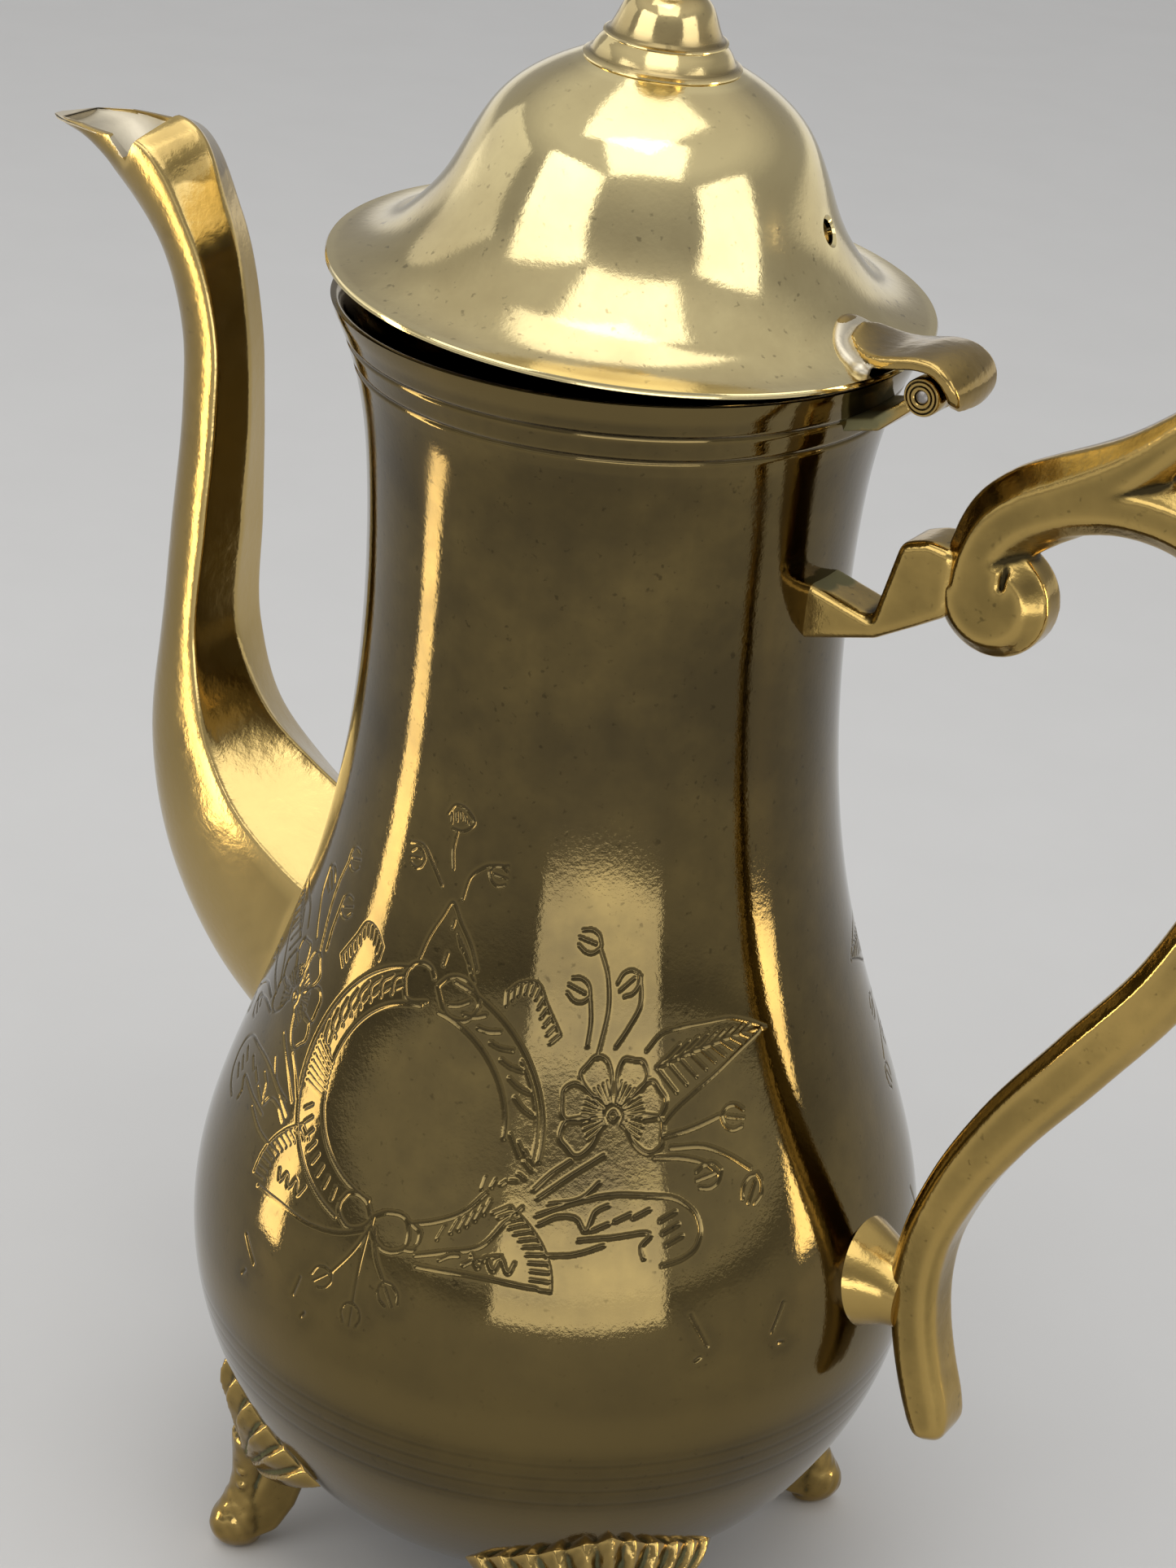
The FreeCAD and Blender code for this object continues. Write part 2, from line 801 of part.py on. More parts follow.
fan = new_body("fan")
fan_sections = [
    fan_section(fan, "fan_ankle", FAN_LOW, fan_low, S.rib_height.value * 0.3, 36, 4),
    fan_section(fan, "fan_top", FAN_HIGH, fan_high, S.rib_height.value * 2, 25, 25),
]
loft(fan, "fan_loft", fan_sections, "AdditiveLoft").Ruled = True
scallop = new_body("scallop")
scallop_outline = new_sketch(scallop, "YZ_Plane", "scallop_outline")
outline(
    scallop_outline,
    rim_point(-1),
    *lobes(rim_point, S.rib_height.value * 2),
    [(across * 4.2, up * (FAN_LOW - 1))],
    [(across * -4.2, up * (FAN_LOW - 1))],
    [rim_point(-1)],
)
scallop_pad = scallop.newObject("PartDesign::Pad", "scallop_pad")
scallop_pad.Profile = scallop_outline
bind(scallop_pad, "Length", S.belly_radius * 1.2)
shell_fan = doc.addObject("Part::Common", "shell_fan")
shell_fan.Base = fan
shell_fan.Tool = scallop
foot_solid = doc.addObject("Part::MultiFuse", "foot_solid")
foot_solid.Shapes = [leg, shell_fan]
foot = cut("foot", foot_solid, envelope)
doc.recompute()

FEET = {
    "foot_front_left": -180 + S.foot_angle.value,
    "foot_front_right": -S.foot_angle.value,
    "foot_back_right": S.foot_angle.value,
    "foot_back_left": 180 - S.foot_angle.value,
}
for name, angle in FEET.items():
    copy = doc.addObject("Part::Feature", name)
    copy.Shape = foot.Shape
    copy.Placement = Placement(Vector(), Rotation(Z_AXIS, angle))
    node(name, copy)

# Checks and STEP files
doc.recompute()
for item in doc.Objects:
    if "Invalid" in item.State or "Error" in item.State:
        raise RuntimeError(f"{item.Name} did not compute: {item.State}")
for body in (shell, casting, bracket, leaf, dome):
    features = [item for item in body.Group if item.isDerivedFrom("PartDesign::Feature")]
    for before, after in zip(features, features[1:]):
        if abs(before.Shape.Volume - after.Shape.Volume) < 1e-4:
            raise RuntimeError(f"{after.Name} changes nothing")
os.makedirs("parts", exist_ok=True)
for name, item in nodes.items():
    shape = item.Shape
    if not shape.isValid() or len(shape.Solids) != 1:
        raise RuntimeError(f"{name} is not one valid solid: {len(shape.Solids)}")
    shape.Solids[0].exportStep(f"parts/{name}.step")
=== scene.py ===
"""Looks of a footed brass coffee pot with a hinged lid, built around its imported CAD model."""

import math

import bmesh
import bpy
import numpy as np
from mathutils import Matrix, Vector


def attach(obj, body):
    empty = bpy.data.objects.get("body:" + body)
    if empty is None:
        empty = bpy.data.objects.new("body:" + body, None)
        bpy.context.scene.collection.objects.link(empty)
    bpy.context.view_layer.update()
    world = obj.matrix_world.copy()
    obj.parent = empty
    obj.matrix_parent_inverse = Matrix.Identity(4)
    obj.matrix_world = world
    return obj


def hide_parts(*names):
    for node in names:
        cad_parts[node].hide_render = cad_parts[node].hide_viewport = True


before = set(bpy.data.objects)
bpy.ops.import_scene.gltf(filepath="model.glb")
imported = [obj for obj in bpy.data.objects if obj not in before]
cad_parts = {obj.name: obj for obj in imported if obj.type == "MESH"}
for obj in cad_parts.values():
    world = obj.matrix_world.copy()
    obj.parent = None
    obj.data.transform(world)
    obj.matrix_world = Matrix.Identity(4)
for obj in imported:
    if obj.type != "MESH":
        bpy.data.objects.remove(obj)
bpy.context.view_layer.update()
scene = bpy.context.scene
scene.view_settings.view_transform = "Standard"
MM = 0.001
EDGE_ANGLE = 25


# Mesh helpers, all in millimetres
def solid(name, points, faces):
    """A closed mesh object with its normals outwards."""
    mesh = bpy.data.meshes.new(name)
    mesh.from_pydata((np.asarray(points, float).reshape(-1, 3) * MM).tolist(), [], faces)
    item = bpy.data.objects.new(name, mesh)
    scene.collection.objects.link(item)
    editor = bmesh.new()
    editor.from_mesh(mesh)
    bmesh.ops.recalc_face_normals(editor, faces=editor.faces)
    editor.to_mesh(mesh)
    editor.free()
    return item


def tube(name, grid, ring=False):
    """A solid whose rows are closed rings, capped at both ends or closed into a ring."""
    rows, columns = grid.shape[:2]
    index = np.arange(rows * columns).reshape(rows, columns)
    low = index if ring else index[:-1]
    high = np.roll(index, -1, axis=0) if ring else index[1:]
    faces = np.stack([low, np.roll(low, -1, 1), np.roll(high, -1, 1), high], -1).reshape(-1, 4).tolist()
    if not ring:
        faces += [index[0, ::-1].tolist(), index[-1].tolist()]
    return solid(name, grid, faces)


def circle(count):
    return np.linspace(0, 2 * np.pi, count, endpoint=False)


def lathe(profile, angles):
    """Grid of a profile of radius and height, turned about Z."""
    profile = np.asarray(profile, float)
    radius = profile[:, :1]
    height = np.repeat(profile[:, 1:], len(angles), axis=1)
    return np.stack([radius * np.cos(angles), radius * np.sin(angles), height], -1)


def turned(name, profile, columns=128):
    """A solid turned about Z from a closed profile that keeps off the axis."""
    return tube(name, lathe(profile, circle(columns)), ring=True)


def spindle(name, profile, columns):
    """A solid turned about Z from an open profile, capped at its ends."""
    return tube(name, lathe(profile, circle(columns)))


def rotate(item, degrees, axis):
    """Turns an object's mesh about an axis."""
    item.data.transform(Matrix.Rotation(math.radians(degrees), 4, axis))
    return item


def move(item, x, y, z):
    """Moves an object's mesh."""
    item.data.transform(Matrix.Translation((x * MM, y * MM, z * MM)))
    return item


def places_of(mesh):
    places = np.zeros(len(mesh.vertices) * 3, np.float32)
    mesh.vertices.foreach_get("co", places)
    return places.reshape(-1, 3).astype(float) / MM


def normals_of(mesh):
    normals = np.zeros(len(mesh.vertices) * 3, np.float32)
    mesh.vertex_normals.foreach_get("vector", normals)
    return normals.reshape(-1, 3)


def set_places(mesh, places):
    mesh.vertices.foreach_set("co", (places * MM).astype(np.float32).ravel())
    mesh.update()


def slab(name, outline, half, bevel, segments=3):
    """An outline in X and Z made solid along Y, with rounded edges."""
    outline = np.asarray(outline, float)
    count = len(outline)
    near = np.c_[outline[:, 0], np.full(count, -half), outline[:, 1]]
    far = np.c_[outline[:, 0], np.full(count, half), outline[:, 1]]
    faces = [[i, (i + 1) % count, count + (i + 1) % count, count + i] for i in range(count)]
    faces += [list(range(count))[::-1], list(range(count, 2 * count))]
    item = solid(name, np.r_[near, far], faces)
    modifier = item.modifiers.new("edges", "BEVEL")
    modifier.width = bevel * MM
    modifier.segments = segments
    modifier.limit_method = "ANGLE"
    modifier.angle_limit = math.radians(EDGE_ANGLE)
    return bake(item)


def bake(item):
    """Applies an object's modifiers to its mesh."""
    graph = bpy.context.evaluated_depsgraph_get()
    mesh = bpy.data.meshes.new_from_object(item.evaluated_get(graph))
    item.modifiers.clear()
    item.data = mesh
    return item


def combine(item, tool, operation):
    """Joins a tool to an object or cuts it out."""
    modifier = item.modifiers.new("combine", "BOOLEAN")
    modifier.operation = operation
    modifier.solver = "MANIFOLD"
    modifier.object = tool
    bake(item)
    bpy.data.objects.remove(tool)
    return item


def cast(item, voxel, rounds):
    """Gives a piece an even mesh with softened edges, as a casting has."""
    remesh = item.modifiers.new("cast", "REMESH")
    remesh.mode = "VOXEL"
    remesh.voxel_size = voxel * MM
    soften = item.modifiers.new("soften", "SMOOTH")
    soften.factor = 0.5
    soften.iterations = rounds
    return bake(item)


def bead(name, centre, size):
    """A small lump with its half sizes along X, Y and Z."""
    turn = np.linspace(-1.5, 1.5, 14)
    ring = lathe(np.c_[np.cos(turn), np.sin(turn)], circle(24))
    return tube(name, ring * size + centre)


def bspline(poles, count):
    """Points along a clamped uniform cubic B-spline."""
    poles = np.asarray(poles, float)
    spans = len(poles) - 3
    knots = np.concatenate([np.zeros(3), np.arange(spans + 1), np.full(3, spans)])
    u = np.linspace(0, spans, count)
    span = np.clip(u.astype(int), 0, spans - 1) + 3
    near = np.stack([poles[span - 3 + j] for j in range(4)], 1)
    for level in range(1, 4):
        for j in range(3, level - 1, -1):
            start = knots[span - 3 + j]
            share = ((u - start) / (knots[span + 1 + j - level] - start))[:, None]
            near[:, j] = (1 - share) * near[:, j - 1] + share * near[:, j]
    return near[:, 3]


def through(stations, count):
    """A smooth curve through stations, evenly spaced by the chord of their first two values."""
    stations = np.asarray(stations, float)
    chord = np.r_[0, np.cumsum(np.linalg.norm(np.diff(stations[:, :2], axis=0), axis=1))]
    slope = np.gradient(stations, chord, axis=0)
    at = np.linspace(0, chord[-1], count)
    i = np.clip(np.searchsorted(chord, at, side="right") - 1, 0, len(stations) - 2)
    span = (chord[i + 1] - chord[i])[:, None]
    t = (at - chord[i])[:, None] / span
    ease = 3 * t**2 - 2 * t**3
    bend = (t**3 - 2 * t**2 + t) * span * slope[i] + (t**3 - t**2) * span * slope[i + 1]
    return (1 - ease) * stations[i] + ease * stations[i + 1] + bend


def respace(curve, step):
    """Points of a dense curve at steps that a function of the points gives."""
    size = np.linalg.norm(np.diff(curve, axis=0), axis=1)
    pace = np.r_[0, np.cumsum(size / step((curve[1:] + curve[:-1]) / 2))]
    at = np.linspace(0, pace[-1], int(pace[-1]) + 2)
    return np.stack([np.interp(at, pace, curve[:, k]) for k in range(curve.shape[1])], 1)


def sideways(curve, distance):
    """A curve moved to its left by a distance."""
    along = np.gradient(curve, axis=0)
    along /= np.linalg.norm(along, axis=1, keepdims=True)
    return curve + distance * np.c_[-along[:, 1], along[:, 0]]


def unit(vectors):
    return vectors / np.linalg.norm(vectors, axis=-1, keepdims=True)


def soft_corner(before, corner, after, reach, steps=5):
    """Points of a small round in place of a corner, for every ring at once."""
    start = corner + reach * unit(before - corner)
    end = corner + reach * unit(after - corner)
    t = np.linspace(0, 1, steps)[None, :, None]
    return (1 - t) ** 2 * start[:, None] + 2 * t * (1 - t) * corner[:, None] + t**2 * end[:, None]


def between(start, end, steps):
    """Points inside a straight side, for every ring at once."""
    t = (np.arange(steps) + 1)[None, :, None] / (steps + 1)
    return (1 - t) * start[:, None] + t * end[:, None]


def soft_ring(pairs, reach, side_steps=3):
    """Rings with rounded corners, from both coordinates of each corner for every ring."""
    corners = [np.stack(pair, 1) for pair in pairs]
    count = len(corners)
    rounds = []
    for i, corner in enumerate(corners):
        rounds.append(soft_corner(corners[i - 1], corner, corners[(i + 1) % count], reach))
    parts = []
    for i, part in enumerate(rounds):
        parts.append(part)
        parts.append(between(part[:, -1], rounds[(i + 1) % count][:, 0], side_steps))
    return np.concatenate(parts, axis=1)


def strand(name, stations, section, count):
    """A solid along a line in XZ, with stations of x, z, heading in degrees and what the section needs."""
    line = through(stations, count)
    ring = section(line)
    turn = np.radians(line[:, 2])[:, None]
    x = line[:, :1] - ring[:, :, 0] * np.sin(turn)
    z = line[:, 1:2] + ring[:, :, 0] * np.cos(turn)
    return tube(name, np.stack([x, ring[:, :, 1], z], -1))


# Camera at the photograph's viewing angle
SENSOR = 36
LENS = 74.754
CAMERA_PLACE = (0.20617, -0.34313, 0.32092)
CAMERA_TURNS = [(31.0506, "Z"), (64.0062, "X"), (4.6847, "Z")]
camera = bpy.data.objects.new("camera", bpy.data.cameras.new("camera"))
camera.data.sensor_width = SENSOR
camera.data.lens = LENS
camera.location = CAMERA_PLACE
aim = Matrix.Identity(3)
for degrees, axis in CAMERA_TURNS:
    aim = aim @ Matrix.Rotation(math.radians(degrees), 3, axis)
camera.rotation_euler = aim.to_euler()
scene.collection.objects.link(camera)
scene.camera = camera


# Materials
def shader(name):
    """A material with its node tree's parts at hand."""
    material = bpy.data.materials.new(name)
    material.use_nodes = True
    tree = material.node_tree
    return material, tree, tree.nodes["Principled BSDF"]


def feed(tree, socket, value):
    """Links an input to another node's output, or sets its value."""
    if isinstance(value, bpy.types.NodeSocket):
        tree.links.new(value, socket)
    else:
        socket.default_value = value


def add(tree, kind, settings=None, **inputs):
    """A node with its settings, its input values and links by socket name."""
    made = tree.nodes.new(kind)
    for key, value in (settings or {}).items():
        setattr(made, key, value)
    for key, value in inputs.items():
        feed(tree, made.inputs[key], value)
    return made


def noise(tree, scale, detail=4.0, rough=0.55, stretch=(1, 1, 1), shift=0.0):
    """A noise pattern in the object's own coordinates."""
    place = add(tree, "ShaderNodeTexCoord").outputs["Object"]
    moved = add(tree, "ShaderNodeMapping", Vector=place, Scale=stretch, Location=(shift, shift, shift))
    inputs = {"Vector": moved.outputs["Vector"], "Scale": scale, "Detail": detail, "Roughness": rough}
    return add(tree, "ShaderNodeTexNoise", **inputs).outputs["Fac"]


def spread(tree, value, low, high, to_low=0.0, to_high=1.0):
    """A value's range mapped to another, clamped."""
    inputs = {"Value": value, "From Min": low, "From Max": high, "To Min": to_low, "To Max": to_high}
    return add(tree, "ShaderNodeMapRange", {"clamp": True}, **inputs).outputs["Result"]


def blend(tree, share, first, second):
    """A mix of two colours."""
    made = tree.nodes.new("ShaderNodeMix")
    made.data_type = "RGBA"
    for index, value in ((0, share), (6, first), (7, second)):
        feed(tree, made.inputs[index], (*value, 1) if isinstance(value, tuple) else value)
    return made.outputs[2]


def maths(tree, operation, first, second):
    """A clamped sum, difference or product."""
    made = tree.nodes.new("ShaderNodeMath")
    made.operation = operation
    made.use_clamp = True
    feed(tree, made.inputs[0], first)
    feed(tree, made.inputs[1], second)
    return made.outputs[0]


def scaled(tree, value, factor):
    return maths(tree, "MULTIPLY", value, factor)


def attribute(tree, name):
    return add(tree, "ShaderNodeAttribute", {"attribute_name": name}).outputs["Fac"]


def height_of(tree, coordinates):
    place = add(tree, "ShaderNodeTexCoord").outputs[coordinates]
    return add(tree, "ShaderNodeSeparateXYZ", Vector=place).outputs["Z"]


SOLDER = (0.58, 0.53, 0.42)
VERDIGRIS = (0.2, 0.2, 0.11)
PATCH_SCALE = 38
MOTTLE_SCALE = 210
SPECK_SCALE = 900
SMEAR_SCALE = 120
SMEAR_STRETCH = (1, 1, 0.12)
DENT_SCALE = 90
CAST_GRAIN = 700
SHEET_GRAIN = 1500
CAST_BUMP = {"Strength": 0.5, "Distance": 0.0004}
SHEET_BUMP = {"Strength": 0.25, "Distance": 0.0002}
# Waver and strength of the painted shade that darkens a piece towards the bottom
LOW_SHADE_WAVER = 0.012
LOW_SHADE_SHARE = 0.8
RAGGED = 0.4


def brass(name, bright, aged, grime_and_shade, gloss, rough, casting=False, dirt=1.0, low_shade=None, wear_and_highlight_tone=None):
    """Aged brass: patches of tarnish, dirt in hollows, painted shade towards the bottom where asked, bright
    worn ridges that are also painted edge highlights, fine grain and dents.
    """
    material, tree, surface = shader(name)
    patches = spread(tree, noise(tree, PATCH_SCALE, 5, 0.6), 0.36, 0.64)
    mottle = spread(tree, noise(tree, MOTTLE_SCALE, 4, 0.6, shift=3.0), 0.35, 0.7)
    specks = spread(tree, noise(tree, SPECK_SCALE, 2, 0.5, shift=7.0), 0.66, 0.74)
    smears = spread(tree, noise(tree, SMEAR_SCALE, 3, 0.6, SMEAR_STRETCH, 9.0), 0.45, 0.7)
    hollow = attribute(tree, "hollow")
    worn_and_highlight = attribute(tree, "worn_and_highlight")
    ragged = scaled(tree, mottle, RAGGED)
    pale = spread(tree, maths(tree, "SUBTRACT", attribute(tree, "pale"), ragged), 0.05, 0.4)
    green = spread(tree, maths(tree, "SUBTRACT", attribute(tree, "green"), ragged), 0.05, 0.5)
    layers = [
        (scaled(tree, patches, 0.85), aged),
        (scaled(tree, mottle, 0.35), aged),
        (scaled(tree, smears, 0.3), aged),
        (scaled(tree, specks, 0.45), grime_and_shade),
    ]
    # Painted shade: the colour darkens towards the bottom, from the higher of two heights down to the lower
    if low_shade:
        uneven = maths(tree, "ADD", height_of(tree, "Object"), scaled(tree, patches, LOW_SHADE_WAVER))
        layers.append((spread(tree, uneven, low_shade[1] * MM, low_shade[0] * MM, 0.0, LOW_SHADE_SHARE), grime_and_shade))
    layers += [
        (scaled(tree, hollow, dirt), grime_and_shade),
        # Ridges that stand out, and facets given a painted highlight, turn bright: partly worn metal, partly
        # painted highlight
        (scaled(tree, worn_and_highlight, 0.8), wear_and_highlight_tone or bright),
        (scaled(tree, green, 0.85), VERDIGRIS),
        (scaled(tree, pale, 0.9), SOLDER),
    ]
    tone = bright
    for share, colour in layers:
        tone = blend(tree, share, tone, colour)
    tree.links.new(tone, surface.inputs["Base Color"])
    surface.inputs["Metallic"].default_value = 1.0
    haze = spread(tree, patches, 0, 1, gloss, rough)
    for mask, amount in ((mottle, 0.3 * rough), (hollow, 0.35 * dirt), (green, 0.5), (pale, 0.35)):
        haze = maths(tree, "ADD", haze, scaled(tree, mask, amount))
    tree.links.new(haze, surface.inputs["Roughness"])
    grain = noise(tree, CAST_GRAIN if casting else SHEET_GRAIN, 3, 0.6, shift=1.0)
    dents = noise(tree, DENT_SCALE, 3, 0.5, shift=5.0)
    relief = maths(tree, "ADD", scaled(tree, grain, 0.25), scaled(tree, dents, 0.75))
    bump = add(tree, "ShaderNodeBump", Height=relief, **(CAST_BUMP if casting else SHEET_BUMP))
    tree.links.new(bump.outputs["Normal"], surface.inputs["Normal"])
    return material


# Body sheet: tarnished brass with its colours made dark as painted shade; the lid's copy of the same sheet
# is painted light
SHEET_PAINTED_SHADE = brass(
    "sheet_brass_aged_painted_shade",
    (0.165, 0.12, 0.046),
    (0.072, 0.055, 0.027),
    (0.022, 0.017, 0.009),
    gloss=0.025,
    rough=0.065,
    dirt=0.35,
    # Painted shade on the lower belly, darkest at 20 mm and gone at 78 mm
    low_shade=(20, 78),
)
# Lid sheet: the body's sheet brass painted much paler, as painted light from above
LID_SHEET_PAINTED_LIGHT = brass(
    "lid_brass_aged_painted_light",
    (0.72, 0.6, 0.31),
    (0.5, 0.4, 0.2),
    (0.1, 0.078, 0.04),
    gloss=0.07,
    rough=0.12,
    dirt=0.08,
)
FINIAL = brass(
    "finial_brass_polished",
    (0.72, 0.58, 0.28),
    (0.46, 0.35, 0.16),
    (0.08, 0.06, 0.028),
    gloss=0.05,
    rough=0.11,
    dirt=0.6,
)
CAST = brass(
    "cast_brass_aged",
    (0.4, 0.275, 0.092),
    (0.16, 0.113, 0.04),
    (0.035, 0.026, 0.012),
    gloss=0.07,
    rough=0.17,
    casting=True,
)
SPOUT_CAST = brass(
    "spout_brass_aged",
    (0.33, 0.225, 0.075),
    (0.13, 0.093, 0.034),
    (0.03, 0.022, 0.01),
    gloss=0.1,
    rough=0.19,
    casting=True,
    # Painted shade over the spout's lower part, darkest at 118 mm and gone at 190 mm
    low_shade=(118, 190),
    # Colour of the worn ridges and of the painted highlight on the spout's roof facets
    wear_and_highlight_tone=(0.62, 0.45, 0.17),
)
HANDLE_CAST = brass(
    "handle_brass_worn",
    (0.47, 0.322, 0.102),
    (0.21, 0.147, 0.048),
    (0.04, 0.03, 0.013),
    gloss=0.08,
    rough=0.17,
    casting=True,
)
STEEL = brass(
    "steel_aged",
    (0.3, 0.28, 0.26),
    (0.14, 0.12, 0.11),
    (0.04, 0.03, 0.025),
    gloss=0.25,
    rough=0.45,
    casting=True,
)

WEAR_ROUNDS = 10
SHARP_ANGLE = 38
SPECK = 0.012


def shape_of(mesh):
    """How far each point stands out of its surroundings in millimetres, with places and normals."""
    places = places_of(mesh)
    normals = normals_of(mesh)
    count = len(places)
    ends = np.zeros(len(mesh.edges) * 2, np.int32)
    mesh.edges.foreach_get("vertices", ends)
    a, b = ends.reshape(-1, 2).T
    degree = np.bincount(a, minlength=count) + np.bincount(b, minlength=count)
    degree = np.maximum(degree, 1)

    def average(values):
        total = np.zeros_like(values)
        for k in range(values.shape[1]):
            total[:, k] = np.bincount(a, values[b, k], count) + np.bincount(b, values[a, k], count)
        return total / degree[:, None]

    smooth = places
    for _ in range(WEAR_ROUNDS):
        smooth = 0.5 * smooth + 0.5 * average(smooth)
    return ((places - smooth) * normals).sum(1), places, normals


def near(*blobs):
    """A mask that is one inside blobs of x, y, z and radius, and fades towards their edges."""

    def mask(places, normals):
        share = np.zeros(len(places))
        for x, y, z, radius in blobs:
            away = np.linalg.norm(places - (x, y, z), axis=1) / radius
            share = np.maximum(share, np.clip(1.8 * (1 - away), 0, 1))
        return share

    return mask


def mend(mesh):
    """Cuts the faces of a trimmed piece into triangles and takes out those that have no area."""
    editor = bmesh.new()
    editor.from_mesh(mesh)
    bmesh.ops.triangulate(editor, faces=editor.faces)
    bmesh.ops.dissolve_degenerate(editor, dist=SPECK * MM, edges=editor.edges)
    bmesh.ops.triangulate(editor, faces=editor.faces)
    editor.to_mesh(mesh)
    editor.free()


def finish_piece(
    item,
    body,
    material,
    nodes,
    sharp=SHARP_ANGLE,
    wear=0.05,
    moss=0,
    pale=None,
    green=None,
    painted_highlight=None,
    trimmed=False,
):
    """Smooth shading, attributes for wear with painted highlight and for dirt, material and frame calls for
    a finished piece.
    """
    mesh = item.data
    if trimmed:
        mend(mesh)
    mesh.polygons.foreach_set("use_smooth", np.ones(len(mesh.polygons), bool))
    mesh.set_sharp_from_angle(angle=math.radians(sharp))
    height, places, normals = shape_of(mesh)
    # Points that stand out get the bright worn colour, partly wear and partly painted edge highlight;
    # hollows get dirt, and verdigris where moss is given
    values_of = {"worn_and_highlight": height / wear, "hollow": -height / wear, "green": -moss * height / wear}
    if green:
        values_of["green"] = np.maximum(values_of["green"], green(places, normals))
    # Painted highlight: facets that a mask picks are painted as bright as worn ridges
    if painted_highlight:
        values_of["worn_and_highlight"] = np.maximum(values_of["worn_and_highlight"], painted_highlight(places, normals))
    if pale:
        values_of["pale"] = pale(places, normals)
    for name, values in values_of.items():
        layer = mesh.attributes.new(name, "FLOAT", "POINT")
        layer.data.foreach_set("value", np.clip(values, 0, 1).astype(np.float32))
    mesh.materials.clear()
    mesh.materials.append(material)
    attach(item, body)
    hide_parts(*nodes)


# Spun body: outline poles from the rim down, as radius and height
POT = [
    (38.4, 194),
    (34.3, 185.4),
    (32.1, 173.3),
    (31.7, 141.3),
    (36.2, 110.3),
    (47.5, 82.2),
    (57.4, 50.3),
    (40.9, 19.2),
    (24, 11.5),
]
RIM = 194
WALL = 1.2
BASE_INNER = 20
RIM_LINES = [189.2, 185.8]
RIM_LINE_DEEP = 0.22
BELLY_LINES = [50.2, 47.8, 45.4, 42.6]
BELLY_LINE_DEEP = 0.025
LINE_HALF = 0.3
# Spacing of the body's rows, closer on the ornament and closest at the turned lines: from, to and step
ROW_STEP = 1.3
CLOSE_ROWS = [(58, 138, 0.75), (41, 52, 0.3), (183.5, 191, 0.16)]
# Radius at which a solid that is turned about its axis is closed
CORE = 0.05
pot_curve = bspline(POT[::-1], 4000)


def pot_step(points):
    z = points[:, 1]
    step = np.full(len(z), ROW_STEP)
    for low, high, close in CLOSE_ROWS:
        step = np.where((z > low) & (z < high), close, step)
    return step


def pot_solid(offset):
    """The body's outside as a filled solid, moved out by an offset, for trimming other pieces."""
    curve = sideways(bspline(POT[::-1], 240), -offset)
    return spindle("pot_trim", np.r_[[(CORE, curve[0, 1])], curve, [(CORE, curve[-1, 1])]], 192)


def pot_radius(z):
    return np.interp(z, pot_curve[:, 1], pot_curve[:, 0])


outside = respace(pot_curve, pot_step)
for heights, deep in ((RIM_LINES, RIM_LINE_DEEP), (BELLY_LINES, BELLY_LINE_DEEP)):
    for height in heights:
        outside[:, 0] -= deep * np.exp(-(((outside[:, 1] - height) / LINE_HALF) ** 2))
inside = sideways(bspline(POT[::-1], 70), WALL)[::-1]
outside = outside[outside[:, 1] < RIM - 0.5]
rim = [(38.15, RIM - 0.15), (37.7, RIM), (37.25, RIM - 0.15)]
inside = inside[inside[:, 1] < RIM - 0.6]
base_edge = [(BASE_INNER, POT[-1][1] + WALL), (BASE_INNER, POT[-1][1])]
body = turned("pot_body", np.r_[outside, rim, inside, base_edge], 400)

# Engraved ornament on the side towards -Y, as azimuth in degrees and height, mirrored to the other side
CUT = 0.33
DEEP = 0.19
AXIS = -87.5
RING_CENTRE = (-87.9, 94.8)
RING_SIZE = (25.6, 17.7)
INNER = 0.735
# Millimetres to a degree of azimuth, about
DEGREE = 0.8
strokes = []


def cut(points, width=CUT, deep=DEEP):
    """One engraved stroke through its points."""
    line = np.asarray(points, float)
    length = np.linalg.norm(np.diff(line, axis=0), axis=1).sum()
    strokes.append((through(line, int(length / 0.1) + 2), width, deep))


def fringe(points, count, first, last, width=0.24):
    """Short strokes from points along a line, which turn from a first reach to a last one."""
    line = through(points, count)
    for k, start in enumerate(line):
        share = k / (count - 1)
        reach = (1 - share) * np.asarray(first, float) + share * np.asarray(last, float)
        cut([start, start + reach], width)


def ring_point(turn, share):
    around = math.radians(turn)
    x = RING_CENTRE[0] + share * RING_SIZE[0] * math.cos(around)
    return x, RING_CENTRE[1] + share * RING_SIZE[1] * math.sin(around)


def ring_arc(share, start, end, width=CUT):
    cut([ring_point(turn, share) for turn in np.linspace(start, end, abs(end - start) // 8 + 2)], width)


def placed(centre, turn, points, flip=1):
    """Points along and across a direction in millimetres, put at a place on the body."""
    x, y = math.cos(math.radians(turn)), math.sin(math.radians(turn))
    return [(centre[0] + flip * (a * x - c * y) / DEGREE, centre[1] + a * y + c * x) for a, c in points]


def bud(centre, turn, size=1.0, flip=1):
    """A small tulip of three petals."""
    for across in (-1, 1):
        side = [(0, 0), (0.7, across), (1.9, 1.35 * across), (3.2, 0.9 * across)]
        cut(placed(centre, turn, size * np.array(side), flip), 0.26)
    cut(placed(centre, turn, size * np.array([(0.8, 0), (3.4, 0)]), flip), 0.26)


def flower(centre, flip):
    """Six petals with fine lines from the heart."""
    petal = [(2.6, -0.7), (4.6, -2), (6.8, -2.2), (8, -0.7), (7.6, 0.6), (7, 2.1), (4.6, 2), (2.6, 0.7)]
    for turn in (18, 62, 118, 165, 208, -24):
        cut(placed(centre, turn, petal, flip))
        for across in (-1.1, -0.4, 0.4, 1.1):
            cut(placed(centre, turn, [(1.5, 0.4 * across), (4.4, across)], flip), 0.2)
    cut(placed(centre, 0, [(0.6, 0), (0, 0.6), (-0.6, 0), (0, -0.6), (0.6, 0)], flip), 0.25)


